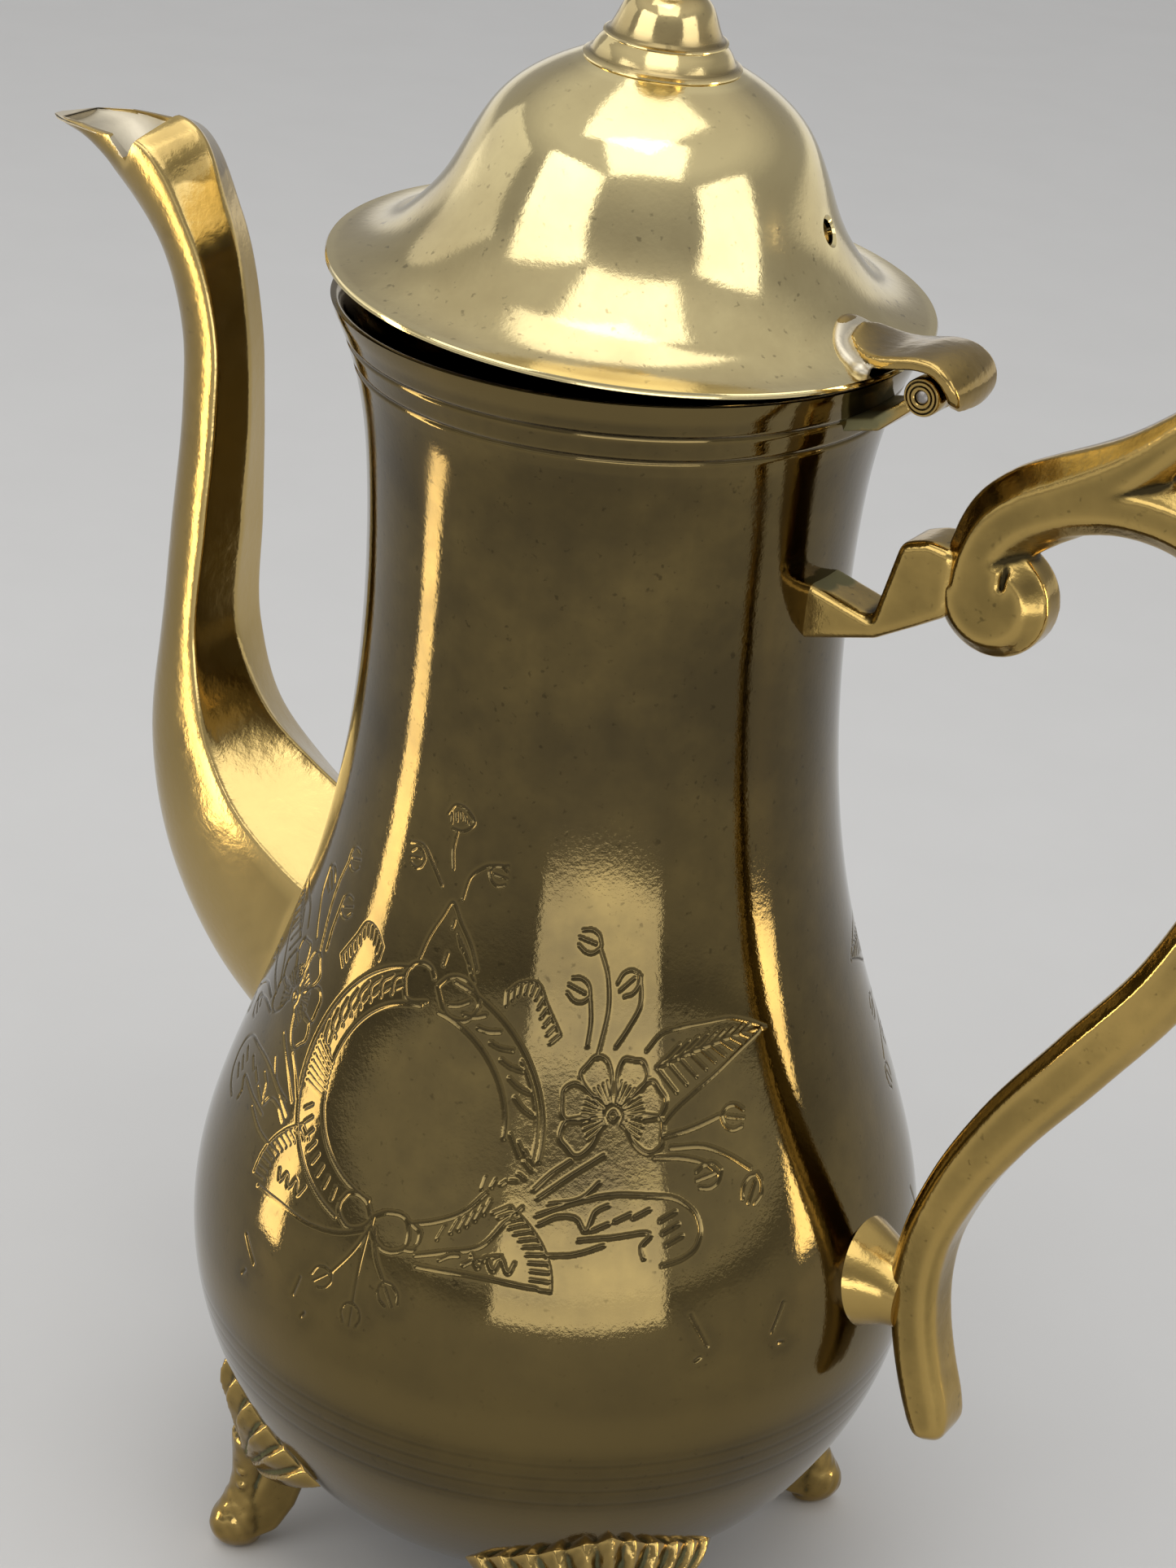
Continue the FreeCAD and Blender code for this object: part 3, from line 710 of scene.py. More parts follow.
# Cartouche: ring, marks along its band, clasps at top and bottom
ring_arc(1, -9, 80)
ring_arc(0.955, -9, 34, 0.22)
ring_arc(1, 104, 252)
ring_arc(INNER, -2, 84)
ring_arc(INNER, 96, 176)
ring_arc(INNER, 196, 262)
for turn in range(14, 76, 10):
    cut([ring_point(turn + 5, 0.82), ring_point(turn, 0.86), ring_point(turn - 4, 0.93)], 0.34)
for turn in range(112, 172, 8):
    cut([ring_point(turn - 5, 0.94), ring_point(turn + 3, 0.9), ring_point(turn + 5, 0.81)], 0.3)
    cut([ring_point(turn - 3, 0.86), ring_point(turn + 2, 0.84)], 0.24)
for turn in range(174, 196, 3):
    cut([ring_point(turn - 3, 0.94), ring_point(turn + 3, 0.72)], 0.22)
for turn in range(202, 250, 6):
    cut([ring_point(turn, 0.84), ring_point(turn + 2, 0.92)], 0.34)
for clasp in (
    [(-87.2, 110.9), (-85.2, 112.4), (-79.8, 112.3), (-77.6, 109.9), (-79, 108.2), (-83.9, 107.7)],
    [(-88.9, 80.3), (-86.5, 81.5), (-83, 81.4), (-82.3, 78.1), (-86, 76.7), (-88.9, 79.1)],
    [(-95.6, 80.2), (-94.6, 81.6), (-90.4, 81.4), (-89.4, 79.8), (-93.4, 77.6), (-95.6, 79.4)],
):
    cut(clasp + clasp[:1])
cut([(-95.4, 110.7), (-93.8, 108), (-88.8, 108.4)])
cut([(-95.4, 110.7), (-94.3, 112.1), (-89, 112.6), (-88.2, 111.8)])
cut([(-82.6, 81.2), (-80.4, 80.4), (-80.9, 78), (-82.2, 77.7)])

# Ribbon tail from the lower clasp, on the right over the ring
cut([(-82, 81.1), (-78, 82.4), (-74, 84.3), (-70.6, 87.4)])
cut([(-80.5, 77.4), (-76, 78.8), (-70, 80.8), (-66.8, 84.2), (-64.5, 86.3)])
for az, z in ((-77.4, 80.2), (-75.4, 81.4), (-74.2, 82), (-73, 82.7), (-71.8, 83.6), (-70.6, 84.6)):
    cut([(az, z), (az + 0.9, z + 1.9)], 0.3)
for az, z in ((-76.5, 77.7), (-72.6, 77.8), (-70, 78.6)):
    cut([(az, z), (az + 1.6, z + 0.9), (az + 3, z + 1.2)])
fringe([(-71.5, 87.6), (-68.5, 88.6), (-66, 90), (-65, 93), (-68, 95)], 9, (0.4, 1.6), (2, -2.6))
cut([(-80, 76.1), (-70, 76.7), (-61, 76.3)])
cut([(-114, 75), (-108, 75.3), (-100, 75.4), (-94, 76.5), (-90, 78.2)])

# Leaf and buds over the ring
leaf_edge = [(-92.7, 113.5), (-91.5, 116.5), (-89, 120), (-87.2, 122.2), (-84.5, 120), (-81.5, 117.5)]
cut(leaf_edge + [(-79.3, 114.5)])
fringe([(-84.8, 118.4), (-82.5, 116.6), (-80.4, 113.8)], 7, (1.2, -1.6), (0.9, -0.9), 0.28)
cut([(-86.8, 113.9), (-86.4, 115.4)], 0.4)
cut([(-86.3, 119), (-86.1, 120)], 0.4)
cut([(-88.3, 126.5), (-89, 129), (-88.6, 131.6)])
cut([(-91.6, 133.6), (-90, 135), (-87, 135), (-84.6, 133.4), (-87, 132), (-89.8, 131.8)])
fringe([(-90.6, 133.8), (-88, 134.4), (-86, 133.6)], 5, (0.3, -1.4), (0.6, -0.8))
cut([(-101, 127.7), (-97, 128), (-93.5, 126), (-90.5, 123.8)])
bud((-96, 126.4), 190)
cut([(-85, 123), (-84, 126), (-81, 128), (-75.5, 129)])
bud((-79.6, 127.6), -5)

# What both sides of the cartouche carry, from the ornament's axis
for flip in (1, -1):

    def beside(points, flip=flip):
        return [(AXIS + flip * x, z) for x, z in points]

    tail = beside([(21, 86.2), (24.5, 84), (27, 81.5), (28.4, 78.8), (28.8, 76)])
    cut(tail, 0.24)
    fringe(tail, 12, (-2.6 * flip, -1.2), (-3.2 * flip, 0.3))
    for x in (16, 18.4, 20.8):
        cut(beside([(x, 79.4), (x + 1.2, 77.8), (x + 2, 79.2)]))
    loop = [(25.5, 85.5), (30.5, 87.2), (37.5, 88.5), (43.5, 88.3), (49.5, 87.2), (52, 85.2), (52.6, 83)]
    cut(beside(loop + [(51.6, 81), (49.6, 80), (46, 79.3)]))
    cut(beside([(28, 80.6), (32, 81), (36.5, 82.2)]))
    cut(beside([(32.5, 82.8), (37.5, 83.2), (44, 83.1), (42.6, 81.8), (43, 80.4)]))
    cut(beside([(26, 84.4), (29, 85.6), (32.3, 85.3), (33.5, 83.9), (35, 86.4), (37, 87.2)]))
    for x, z in ((34.5, 84), (38.2, 85.2), (41.3, 85.6), (45.8, 85), (46.2, 83.4), (46.8, 81.9)):
        cut(beside([(x, z), (x + 2.6, z + 0.9)]), 0.34)
    flower((AXIS + flip * 37.5, 98.3), flip)
    for stem in (
        [(46.3, 95.4), (51.5, 96), (57.5, 97)],
        [(45, 93), (50.5, 92.5), (54.5, 91.3), (56.6, 89.8)],
        [(48, 94), (54.5, 93.5), (58.5, 92), (63, 89.4)],
        [(25.4, 87.6), (30, 90.4), (36, 93.4)],
        [(24.6, 88.6), (27, 90.6), (30.4, 92.6)],
        [(27.4, 87), (33, 88.2), (35.4, 90)],
        [(33.4, 119.6), (35.3, 116), (35.8, 112), (34.8, 108), (34, 105.6)],
        [(32, 113), (32.4, 110), (32, 107)],
        [(42.2, 116), (42.3, 112.5), (40, 109.5), (37.5, 107)],
    ):
        cut(beside(stem))
    for (x, z), turn in (
        ((58, 97), -15),
        ((57.2, 90.2), 190),
        ((64.2, 88.6), 240),
        ((33.6, 120), 165),
        ((32, 113.4), 160),
        ((41.8, 116.4), 215),
    ):
        bud((AXIS + flip * x, z), turn, 1.15, flip)
    crown = beside([(15.2, 112.6), (17.5, 114), (21.4, 114.2), (23.4, 111.8), (25.4, 109.6), (26.6, 108.2)])
    cut(crown, 0.24)
    fringe(crown, 11, (0.2 * flip, -1.8), (-1.8 * flip, -1.2), 0.28)
    rib = beside([(45.6, 104.2), (51.5, 105.5), (57.5, 106.3), (63.5, 106.8), (69.5, 106.6)])
    cut(rib)
    upper = [(43.5, 106.4), (46.5, 108.4), (50.5, 109), (56, 109.2), (62, 109), (66.5, 107.8), (70, 106.6)]
    lower = [(68.5, 106.4), (62.5, 104.4), (57.5, 102.4), (52.5, 100.4), (48.5, 98.4), (46.6, 97)]
    cut(beside(upper), 0.24)
    cut(beside(lower), 0.24)
    fringe(rib[:-1], 9, (4.6 * flip, 2.6), (3 * flip, 0.9))
    fringe(rib[:-1], 9, (3.8 * flip, -3.4), (2.6 * flip, -0.9))

# Drooping buds under the cartouche
for stem, turn in (
    ([(-88.9, 79), (-91, 75), (-94, 71)], 225),
    ([(-89.2, 78.4), (-89.4, 73), (-89.3, 68.4)], 270),
    ([(-88.2, 78.8), (-86.8, 75.4), (-84.8, 72.8)], 300),
):
    cut(stem)
    bud(stem[-1], turn)
for start, end in (
    ((-113.4, 68), (-110, 65.2)),
    ((-112.6, 62.4), (-112, 63.2)),
    ((-99.6, 68), (-100.4, 65.2)),
    ((-98.2, 62.8), (-97.6, 63.6)),
    ((-37, 72.4), (-34.4, 67.8)),
    ((-36.4, 66), (-35.6, 66.4)),
    ((-20.8, 71), (-23.2, 67.4)),
    ((-22, 65.6), (-21.2, 65.4)),
):
    cut([start, end], 0.4)

# Map of the strokes' depth over one side, read by azimuth and height
CELL = 0.12
MAP_LOW = np.array([-160.0, 58.0])
MAP_HIGH = np.array([-12.0, 138.0])
map_step = np.array([CELL / DEGREE, CELL])
map_size = ((MAP_HIGH - MAP_LOW) / map_step).astype(int)
depth_map = np.zeros(map_size)
FAR = 9.0
near_map = np.full(map_size, FAR)
REACH = 10
steps = np.arange(-REACH, REACH + 1)
window = np.stack(np.meshgrid(steps, steps, indexing="ij"), -1).reshape(-1, 2)
for line, width, deep in strokes:
    at = (line - MAP_LOW) / map_step
    cells = (np.round(at).astype(int)[:, None] + window[None]).reshape(-1, 2)
    away = (cells.reshape(len(line), -1, 2) - at[:, None]) * map_step
    away[:, :, 0] *= np.radians(pot_radius(line[:, 1]))[:, None]
    distance = np.linalg.norm(away, axis=-1).ravel()
    kept = np.all((cells >= 0) & (cells < map_size), axis=1)
    cells = cells[kept]
    share = np.clip(distance[kept] / width, 0, 1)
    np.maximum.at(depth_map, (cells[:, 0], cells[:, 1]), deep * (1 - share**2) ** 2)
    np.minimum.at(near_map, (cells[:, 0], cells[:, 1]), distance[kept] - width)


def read_map(values, places, outside_value):
    """A map's values at points of the body, mirrored to the side towards +Y."""
    azimuth = -np.abs(np.degrees(np.arctan2(places[:, 1], places[:, 0])))
    at = (np.stack([azimuth, places[:, 2]], 1) - MAP_LOW) / map_step
    low = np.floor(at).astype(int)
    kept = np.all((low >= 0) & (low < map_size - 1), axis=1)
    low = np.clip(low, 0, map_size - 2)
    f, g = np.clip(at - low, 0, 1).T
    i, j = low.T
    found = (1 - f) * (1 - g) * values[i, j] + f * (1 - g) * values[i + 1, j]
    found += (1 - f) * g * values[i, j + 1] + f * g * values[i + 1, j + 1]
    return np.where(kept, found, outside_value)


def on_outside(places):
    return np.hypot(places[:, 0], places[:, 1]) > pot_radius(places[:, 2]) - 0.4 * WALL


def engrave(mesh):
    """Divides the body's faces along the strokes and sinks their points into it."""
    for spare in (0.9, 0.5):
        places = places_of(mesh)
        chosen = on_outside(places) & (read_map(near_map, places, FAR) < spare)
        editor = bmesh.new()
        editor.from_mesh(mesh)
        editor.verts.ensure_lookup_table()
        faces = {face for k in np.flatnonzero(chosen) for face in editor.verts[k].link_faces}
        edges = list({edge for face in faces for edge in face.edges})
        bmesh.ops.subdivide_edges(editor, edges=edges, cuts=1, use_grid_fill=True)
        editor.to_mesh(mesh)
        editor.free()
    places = places_of(mesh)
    sunk = np.where(on_outside(places), read_map(depth_map, places, 0), 0)
    radius = np.hypot(places[:, 0], places[:, 1])
    on_map = on_outside(places) & (read_map(near_map, places, FAR) < 1)
    wanted = np.where(on_map, pot_radius(places[:, 2]) - sunk, radius)
    places[:, :2] *= (wanted / radius)[:, None]
    set_places(mesh, places)


engrave(body.data)
POUR_RADIUS = 7
POUR_HEIGHT = 88
pour_hole = spindle("pour_hole", [(POUR_RADIUS, -60), (POUR_RADIUS, -20)], 48)
rotate(pour_hole, 90, "Y")
move(pour_hole, 0, 0, POUR_HEIGHT)
combine(body, pour_hole, "DIFFERENCE")
finish_piece(body, "pot", SHEET_PAINTED_SHADE, ["body_shell"], sharp=70)

# Spout stations from root to tip: ridge x and z, lean in degrees, half width, depth of the round, roof
SPOUT = [
    (-33, 97, -62, 11.5, 34, 10),
    (-44, 102.3, -52.9, 11.7, 30, 9.5),
    (-53.5, 108.9, -44.1, 11, 24, 8),
    (-60, 117, -27.2, 9.2, 17, 5.2),
    (-63.3, 129, -8.5, 8, 10.8, 2.1),
    (-62.9, 146.6, -3, 7.1, 9.6, 1.7),
    (-62.4, 163.5, 0, 6, 8.9, 1.95),
    (-62.8, 175, -6, 5.55, 9, 1.7),
    (-67.6, 190.3, -29, 6.25, 9.3, 2.7),
    (-76.1, 200.7, -44, 6.97, 10, 4),
    (-82, 200.8, -63, 6.8, 5.6, 2),
    (-87, 200.8, -76, 5.9, 2.9, 1),
    (-91.8, 200.4, -82, 4, 1.6, 0.6),
    (-95.9, 199.6, -85, 0.8, 0.5, 0.3),
]
SPOUT_WALL = 1.4
LIP_WALLS = [0.85, 0.7, 0.5]
LIP_CLEAR = 6
LIP_START = 10
NOTCH = [
    (-78.3, 197.4),
    (-70, 211),
    (-70, 225),
    (-105, 225),
    (-105, 198.8),
    (-96.4, 199.5),
    (-91.8, 200.4),
    (-87, 200.8),
    (-81, 200.7),
]


def spout_solid(name, stations, count, corner):
    """A roofed tube along the spout: two facets over a round side."""
    x, z, lean, half, deep, roof = through(stations, count).T
    flat = np.zeros_like(x)
    near = np.stack([flat, -half], 1)
    keel = np.stack([roof, flat], 1)
    far = np.stack([flat, half], 1)
    reach = np.minimum(corner, 0.3 * half)[:, None]
    t = np.linspace(0.03, 0.97, 44)
    across = (1 - t) ** 3 + 3 * t * (1 - t) ** 2 - 3 * t**2 * (1 - t) - t**3
    belly = np.stack([-4 * deep[:, None] * t * (1 - t), half[:, None] * across], -1)
    ring = np.concatenate(
        [
            soft_corner(belly[:, -1], near, keel, reach),
            between(near, keel, 5),
            soft_corner(near, keel, far, reach),
            between(keel, far, 5),
            soft_corner(keel, far, belly[:, 0], reach),
            belly,
        ],
        axis=1,
    )
    turn = np.radians(lean)[:, None]
    ahead = x[:, None] + ring[:, :, 0] * np.cos(turn)
    upward = z[:, None] - ring[:, :, 0] * np.sin(turn)
    return tube(name, np.stack([ahead, ring[:, :, 1], upward], -1))


bore_walls = [SPOUT_WALL] * LIP_START + LIP_WALLS
bore_clear = [0] * LIP_START + [LIP_CLEAR] * len(LIP_WALLS)
BORE = [
    (x, z, lean, half - wall, deep - wall, roof - 0.6 * wall + clear)
    for (x, z, lean, half, deep, roof), wall, clear in zip(SPOUT, bore_walls, bore_clear)
]
spout = spout_solid("spout_casting", SPOUT, count=300, corner=0.6)
combine(spout, spout_solid("spout_bore", BORE, count=240, corner=0.3), "DIFFERENCE")
combine(spout, slab("spout_notch", NOTCH, half=20, bevel=0.01, segments=1), "DIFFERENCE")
combine(spout, pot_solid(offset=0.02), "DIFFERENCE")
LIP_BACK = -78.8
LIP_LOW = 195
LIP_HIGH = 200.3
# Facing and top height of the roof facets that get a painted highlight
ROOF_FACING = (0.77, 0, 0.64)
ROOF_TOP = 196
SPOUT_WEAR = 0.16


def lip_floor(places, normals):
    """Inside of the lip, left rough from the mould."""
    x, z = places[:, 0], places[:, 2]
    return ((normals[:, 2] > 0.15) & (x < LIP_BACK) & (z > LIP_LOW) & (z < LIP_HIGH)).astype(float)


def spout_roof_highlight(places, normals):
    """Facets inside the bend that face up and towards the body, painted bright as a highlight."""
    facing = normals @ np.array(ROOF_FACING)
    return np.clip((facing - 0.35) / 0.3, 0, 1) * (places[:, 2] < ROOF_TOP)


finish_piece(
    spout,
    "pot",
    SPOUT_CAST,
    ["spout"],
    wear=SPOUT_WEAR,
    pale=lip_floor,
    # Painted highlight on the roof facets inside the bend
    painted_highlight=spout_roof_highlight,
    trimmed=True,
)

# Handle strands: x, z, heading in degrees and thickness
GRIP = [
    (58, 181, 34, 7),
    (64.5, 184.6, 24, 7.6),
    (71, 186.4, 9, 8),
    (80.5, 185.7, -13, 9),
    (88.3, 181, -48, 9.6),
    (93, 172.5, -74, 9.2),
    (94.5, 161, -89, 8.2),
    (93.6, 148, -99, 7.6),
    (86.7, 127.6, -118, 8.2),
    (77, 112.2, -125, 8.4),
    (67.9, 98.4, -121, 8),
    (62.2, 87, -109, 7.3),
    (59.3, 77.5, -98, 6.9),
    (58.7, 70.5, -89, 7.1),
    (59.5, 64, -80, 6.8),
    (61.2, 57, -74, 6.8),
    (62.9, 51.8, -71, 6.6),
    (63.6, 49.6, -71, 5.9),
    (64.1, 48.1, -71, 4.5),
    (64.4, 47.2, -71, 2.7),
    (64.5, 46.8, -71, 0.8),
]
SPUR = [
    (53, 170.5, 90, 8.6),
    (53.8, 175, 78, 9.4),
    (55.9, 179.4, 58, 10.4),
    (59.6, 182.9, 40, 10.6),
    (63.9, 185.6, 32, 10.2),
    (68.3, 188.6, 36, 9),
    (72, 191.6, 41, 7.6),
    (76.2, 195.8, 46, 6),
    (81.5, 201.6, 49, 4.4),
    (87.6, 209.3, 52, 2.2),
]
# Curl at the handle's upper end: angle about its centre, radius of its line and thickness
CURL_CENTRE = (56.3, 170)
CURL = [
    (388, 3.3, 2.4),
    (378, 3.4, 4.6),
    (360, 3.5, 5.9),
    (335, 3.55, 6.6),
    (300, 3.6, 6.9),
    (265, 3.65, 7),
    (230, 3.75, 7.2),
    (200, 3.9, 7.5),
    (172, 4.1, 7.8),
]
HANDLE_HALF = 4
BEVEL_HEIGHTS = (100, 150)
BEVEL_SHARES = (0.4, 0.58)


def handle_section(line):
    """Octagon rings of the handle: flat sides, bevels that are broader higher up, softened ridges."""
    thick = line[:, 3] / 2
    bevel = np.interp(line[:, 1], BEVEL_HEIGHTS, BEVEL_SHARES) * thick
    wide = np.minimum(HANDLE_HALF, 0.9 + 1.25 * thick)
    corners = [
        (thick, bevel - wide),
        (thick, wide - bevel),
        (thick - bevel, wide),
        (bevel - thick, wide),
        (-thick, wide - bevel),
        (-thick, bevel - wide),
        (bevel - thick, -wide),
        (thick - bevel, -wide),
    ]
    return soft_ring(corners, np.minimum(0.55, 0.22 * thick)[:, None])


curl = []
for angle, radius, thickness in CURL:
    around = math.radians(angle)
    x = CURL_CENTRE[0] + radius * math.cos(around)
    z = CURL_CENTRE[1] + radius * math.sin(around)
    curl.append((x, z, angle - 90, thickness))
handle = strand("handle_casting", GRIP, handle_section, 340)
combine(handle, strand("handle_spur", SPUR, handle_section, 140), "UNION")
combine(handle, strand("handle_curl", curl, handle_section, 100), "UNION")
EYE = [(CORE, -4), (4.8, -4), (7.3, -1.9), (7.3, 1.9), (4.8, 4), (CORE, 4)]
eye = spindle("curl_eye", EYE, 64)
rotate(eye, 90, "X")
move(eye, CURL_CENTRE[0], 0, CURL_CENTRE[1])
combine(handle, eye, "UNION")
CREASE = [(57.9, 178.4), (58.9, 176.2), (58.3, 173.6), (57.5, 169.5), (57.4, 173.6), (57.6, 176.2)]
CREASE_DEEP = 0.9
CREASE_HALF = 2
for side in (-1, 1):
    crease = slab("crease", CREASE, CREASE_HALF, bevel=0.05, segments=1)
    move(crease, 0, side * (HANDLE_HALF + CREASE_HALF - CREASE_DEEP), 0)
    combine(handle, crease, "DIFFERENCE")
cast(handle, voxel=0.34, rounds=4)
finish_piece(handle, "pot", HANDLE_CAST, ["handle"])

# Lugs between body and handle
UPPER_LUG = [
    (29, 157.3),
    (41.6, 161),
    (47, 164.2),
    (51.2, 166.8),
    (51.2, 175.4),
    (47.4, 175.9),
    (43.6, 174.6),
    (40.8, 163.6),
    (29, 166.6),
]
upper_lug = slab("upper_lug_casting", UPPER_LUG, half=4, bevel=1.1)
cast(upper_lug, voxel=0.25, rounds=9)
combine(upper_lug, pot_solid(offset=-0.3), "DIFFERENCE")
lug_root = near((33, -1.5, 166.2, 2.6), (33.6, 1.5, 166, 2.8))
finish_piece(upper_lug, "pot", HANDLE_CAST, ["upper_handle_lug"], green=lug_root, trimmed=True)

POST_HEIGHT = 67.2
POST = [(CORE, 45), (9.8, 45), (7.8, 50.4), (6.7, 52.6), (5.9, 54.2), (5.4, 55.6), (5.2, 57.2), (CORE, 57.2)]
post = spindle("lower_lug_casting", POST, 72)
rotate(post, 90, "Y")
move(post, 0, 0, POST_HEIGHT)
combine(post, pot_solid(offset=-0.3), "DIFFERENCE")
post_root = near((50, -5.5, 61.5, 2.6), (49.5, -6.5, 64, 2.2))
finish_piece(post, "pot", HANDLE_CAST, ["lower_handle_lug"], pale=post_root, moss=0.3)

# Hinge
HINGE = (45.1, 194.4)
hx, hz = HINGE
BARREL = 2.42
BARREL_HALF = 6
CENTRE_HALF = 2.1
PIN = 0.87
BORE_GAP = 0.04
SIDE_GAP = 0.3
AJAR = 3.45


def swing(item):
    """Turns a piece of the lid about the hinge to the pose at rest."""
    move(item, -hx, 0, -hz)
    rotate(item, AJAR, "Y")
    move(item, hx, 0, hz)


def knuckle(name, start, end):
    """A rolled ring along the hinge's axis, with the turns of its sheet as grooves in the ends."""
    inner = PIN + BORE_GAP
    face = [
        (inner, 0.1),
        (inner + 0.12, 0),
        (1.3, 0),
        (1.38, 0.3),
        (1.48, 0.3),
        (1.56, 0.03),
        (1.84, 0.03),
        (1.92, 0.3),
        (2.02, 0.3),
        (2.1, 0.06),
        (BARREL - 0.14, 0.08),
        (BARREL, 0.3),
    ]
    profile = [(r, start + z) for r, z in face] + [(r, end - z) for r, z in face[::-1]]
    item = rotate(turned(name, profile, 64), -90, "X")
    return move(item, hx, 0, hz)


ARM = [
    (33, hz - 7.4),
    (hx - 5.2, hz - 5.6),
    (hx - 1.1, hz - 1.9),
    (hx - 1.9, hz - 0.6),
    (hx - 6.3, hz - 4.2),
    (33, hz - 5.6),
]
bracket = slab("hinge_bracket_casting", ARM, BARREL_HALF, bevel=0.35)
combine(bracket, pot_solid(offset=-0.2), "DIFFERENCE")
SLOT = [(hx - 2.6, hz - 3.4), (hx + 3, hz - 3.4), (hx + 3, hz + 3), (hx - 2.6, hz + 3)]
combine(bracket, slab("slot", SLOT, half=2.4, bevel=0.01, segments=1), "DIFFERENCE")
combine(bracket, knuckle("knuckle_near", -BARREL_HALF, -CENTRE_HALF - SIDE_GAP), "UNION")
combine(bracket, knuckle("knuckle_far", CENTRE_HALF + SIDE_GAP, BARREL_HALF), "UNION")
bracket_root = near((36.5, -4, 189, 4.4), (36.5, 3, 189, 4.4), (39.5, -6, 190.2, 1.6))
bracket_solder = near((40.8, -6, 190.4, 1.3), (38, -6, 188.3, 1))
finish_piece(
    bracket,
    "pot",
    CAST,
    ["hinge_bracket"],
    pale=bracket_solder,
    green=bracket_root,
    trimmed=True,
)

pin_end = BARREL_HALF - 0.1
pin_profile = [(0.04, -pin_end), (0.5, -pin_end + 0.02), (0.8, -pin_end + 0.2), (PIN, -pin_end + 0.4)]
pin_profile += [(r, -z) for r, z in pin_profile[::-1]]
pin = spindle("hinge_pin_steel", pin_profile, 40)
rotate(pin, -90, "X")
move(pin, hx, 0, hz)
finish_piece(pin, "pot", STEEL, ["hinge_pin"])

# Lid: outline poles from the brim up, as radius and height above the rim
LID = [(39, 1), (33.7, 1.5), (28.8, 6), (24.7, 11.8), (22.1, 19), (17.7, 25.6), (9, 29.4)]
LID_SHEET_THICK = 0.9
LID_STEP = 0.7
STUD_HOLE = 2.1
LID_TOP = RIM + LID[-1][1]
lid_curve = bspline([(r, RIM + z) for r, z in LID], 900)
top = respace(lid_curve, lambda points: np.full(len(points), LID_STEP))
under = sideways(top, LID_SHEET_THICK)[:0:-1]
hole = [(STUD_HOLE, LID_TOP), (STUD_HOLE, LID_TOP - LID_SHEET_THICK)]
brim = [(39.15, RIM + 0.35), (39.15, RIM + 0.75)]
lid = turned("lid_dome", np.r_[top, hole, under, brim], 360)
VENT = [(1.65, -6), (1.65, -0.3), (2.25, 0.25), (2.25, 6)]
VENT_SPOT = (23.95, 5, RIM + 12.9)
VENT_LEAN = 64
vent = spindle("vent", VENT, 40)
rotate(vent, VENT_LEAN, "Y")
rotate(vent, math.degrees(math.atan2(VENT_SPOT[1], VENT_SPOT[0])), "Z")
move(vent, *VENT_SPOT)
combine(lid, vent, "DIFFERENCE")
swing(lid)
finish_piece(lid, "lid", LID_SHEET_PAINTED_LIGHT, ["lid_shell"])

# Thumb leaf: x and z of its middle from the hinge, heading, half width
LEAF = [
    (-12.8, 3.7, -36, 0.9),
    (-12.3, 3.35, -32, 2.9),
    (-11, 2.75, -22, 4.5),
    (-9, 2.3, -8, 5.5),
    (-6.8, 2.35, 6, 5.9),
    (-4.3, 2.95, 16, 6),
    (-1.6, 3.65, 6, 6),
    (0.9, 3.6, -16, 6),
    (2.75, 2.5, -45, 6),
    (3.6, 1.1, -74, 5.6),
    (3.7, 0, -90, 5),
    (3.5, -0.9, -100, 3.9),
]
LEAF_HALF = 0.8


def leaf_section(line):
    """Rounded strip rings with a crowned top."""
    wide = line[:, 3]
    thick = np.full_like(wide, LEAF_HALF)
    corners = [(thick, -wide), (thick, wide), (-thick, wide), (-thick, -wide)]
    ring = soft_ring(corners, np.full((len(wide), 1), 0.55), 9)
    share = np.clip(ring[:, :, 1] / wide[:, None], -1, 1)
    ring[:, :, 0] += np.where(ring[:, :, 0] > 0, 0.45, 0.1) * (1 - share**2)
    return ring


# Solder along the leaf's edge on the lid: x from the hinge and y, then half width and half height
SEAM = [
    (-7.4, -5.6, 0.7, 0.6),
    (-8.4, -5.9, 1.2, 1),
    (-9.6, -5.7, 0.9, 0.7),
    (-11, -5.1, 1.1, 0.7),
    (-12.4, -4.2, 1.1, 0.6),
    (-13.3, -2.6, 1.3, 0.7),
    (-13.8, -0.8, 1.5, 0.8),
    (-13.8, 1, 1.4, 0.7),
    (-13.2, 2.8, 1.2, 0.6),
    (-12.2, 4.2, 1, 0.6),
    (-10.8, 5.2, 1, 0.7),
    (-9.2, 5.8, 1.1, 0.8),
    (-7.6, 5.8, 0.8, 0.7),
]


def lid_height(radius):
    return np.interp(radius, lid_curve[::-1, 0], lid_curve[::-1, 1])


def seam_solid(name):
    """A flattened bead that lies on the lid."""
    dx, y, half, high = through(SEAM, 120).T
    x = hx + dx
    radius = np.hypot(x, y)
    slope = (lid_height(radius + 0.1) - lid_height(radius - 0.1)) / 0.2
    up = unit(np.stack([-slope * x / radius, -slope * y / radius, np.ones_like(x)], 1))
    spine = np.stack([x, y, lid_height(radius) + 0.1], 1)
    across = unit(np.cross(up, np.gradient(spine, axis=0)))
    turn = circle(28)
    ring = spine[:, None] + across[:, None] * (half[:, None] * np.cos(turn))[:, :, None]
    return tube(name, ring + up[:, None] * (high[:, None] * np.sin(turn))[:, :, None])


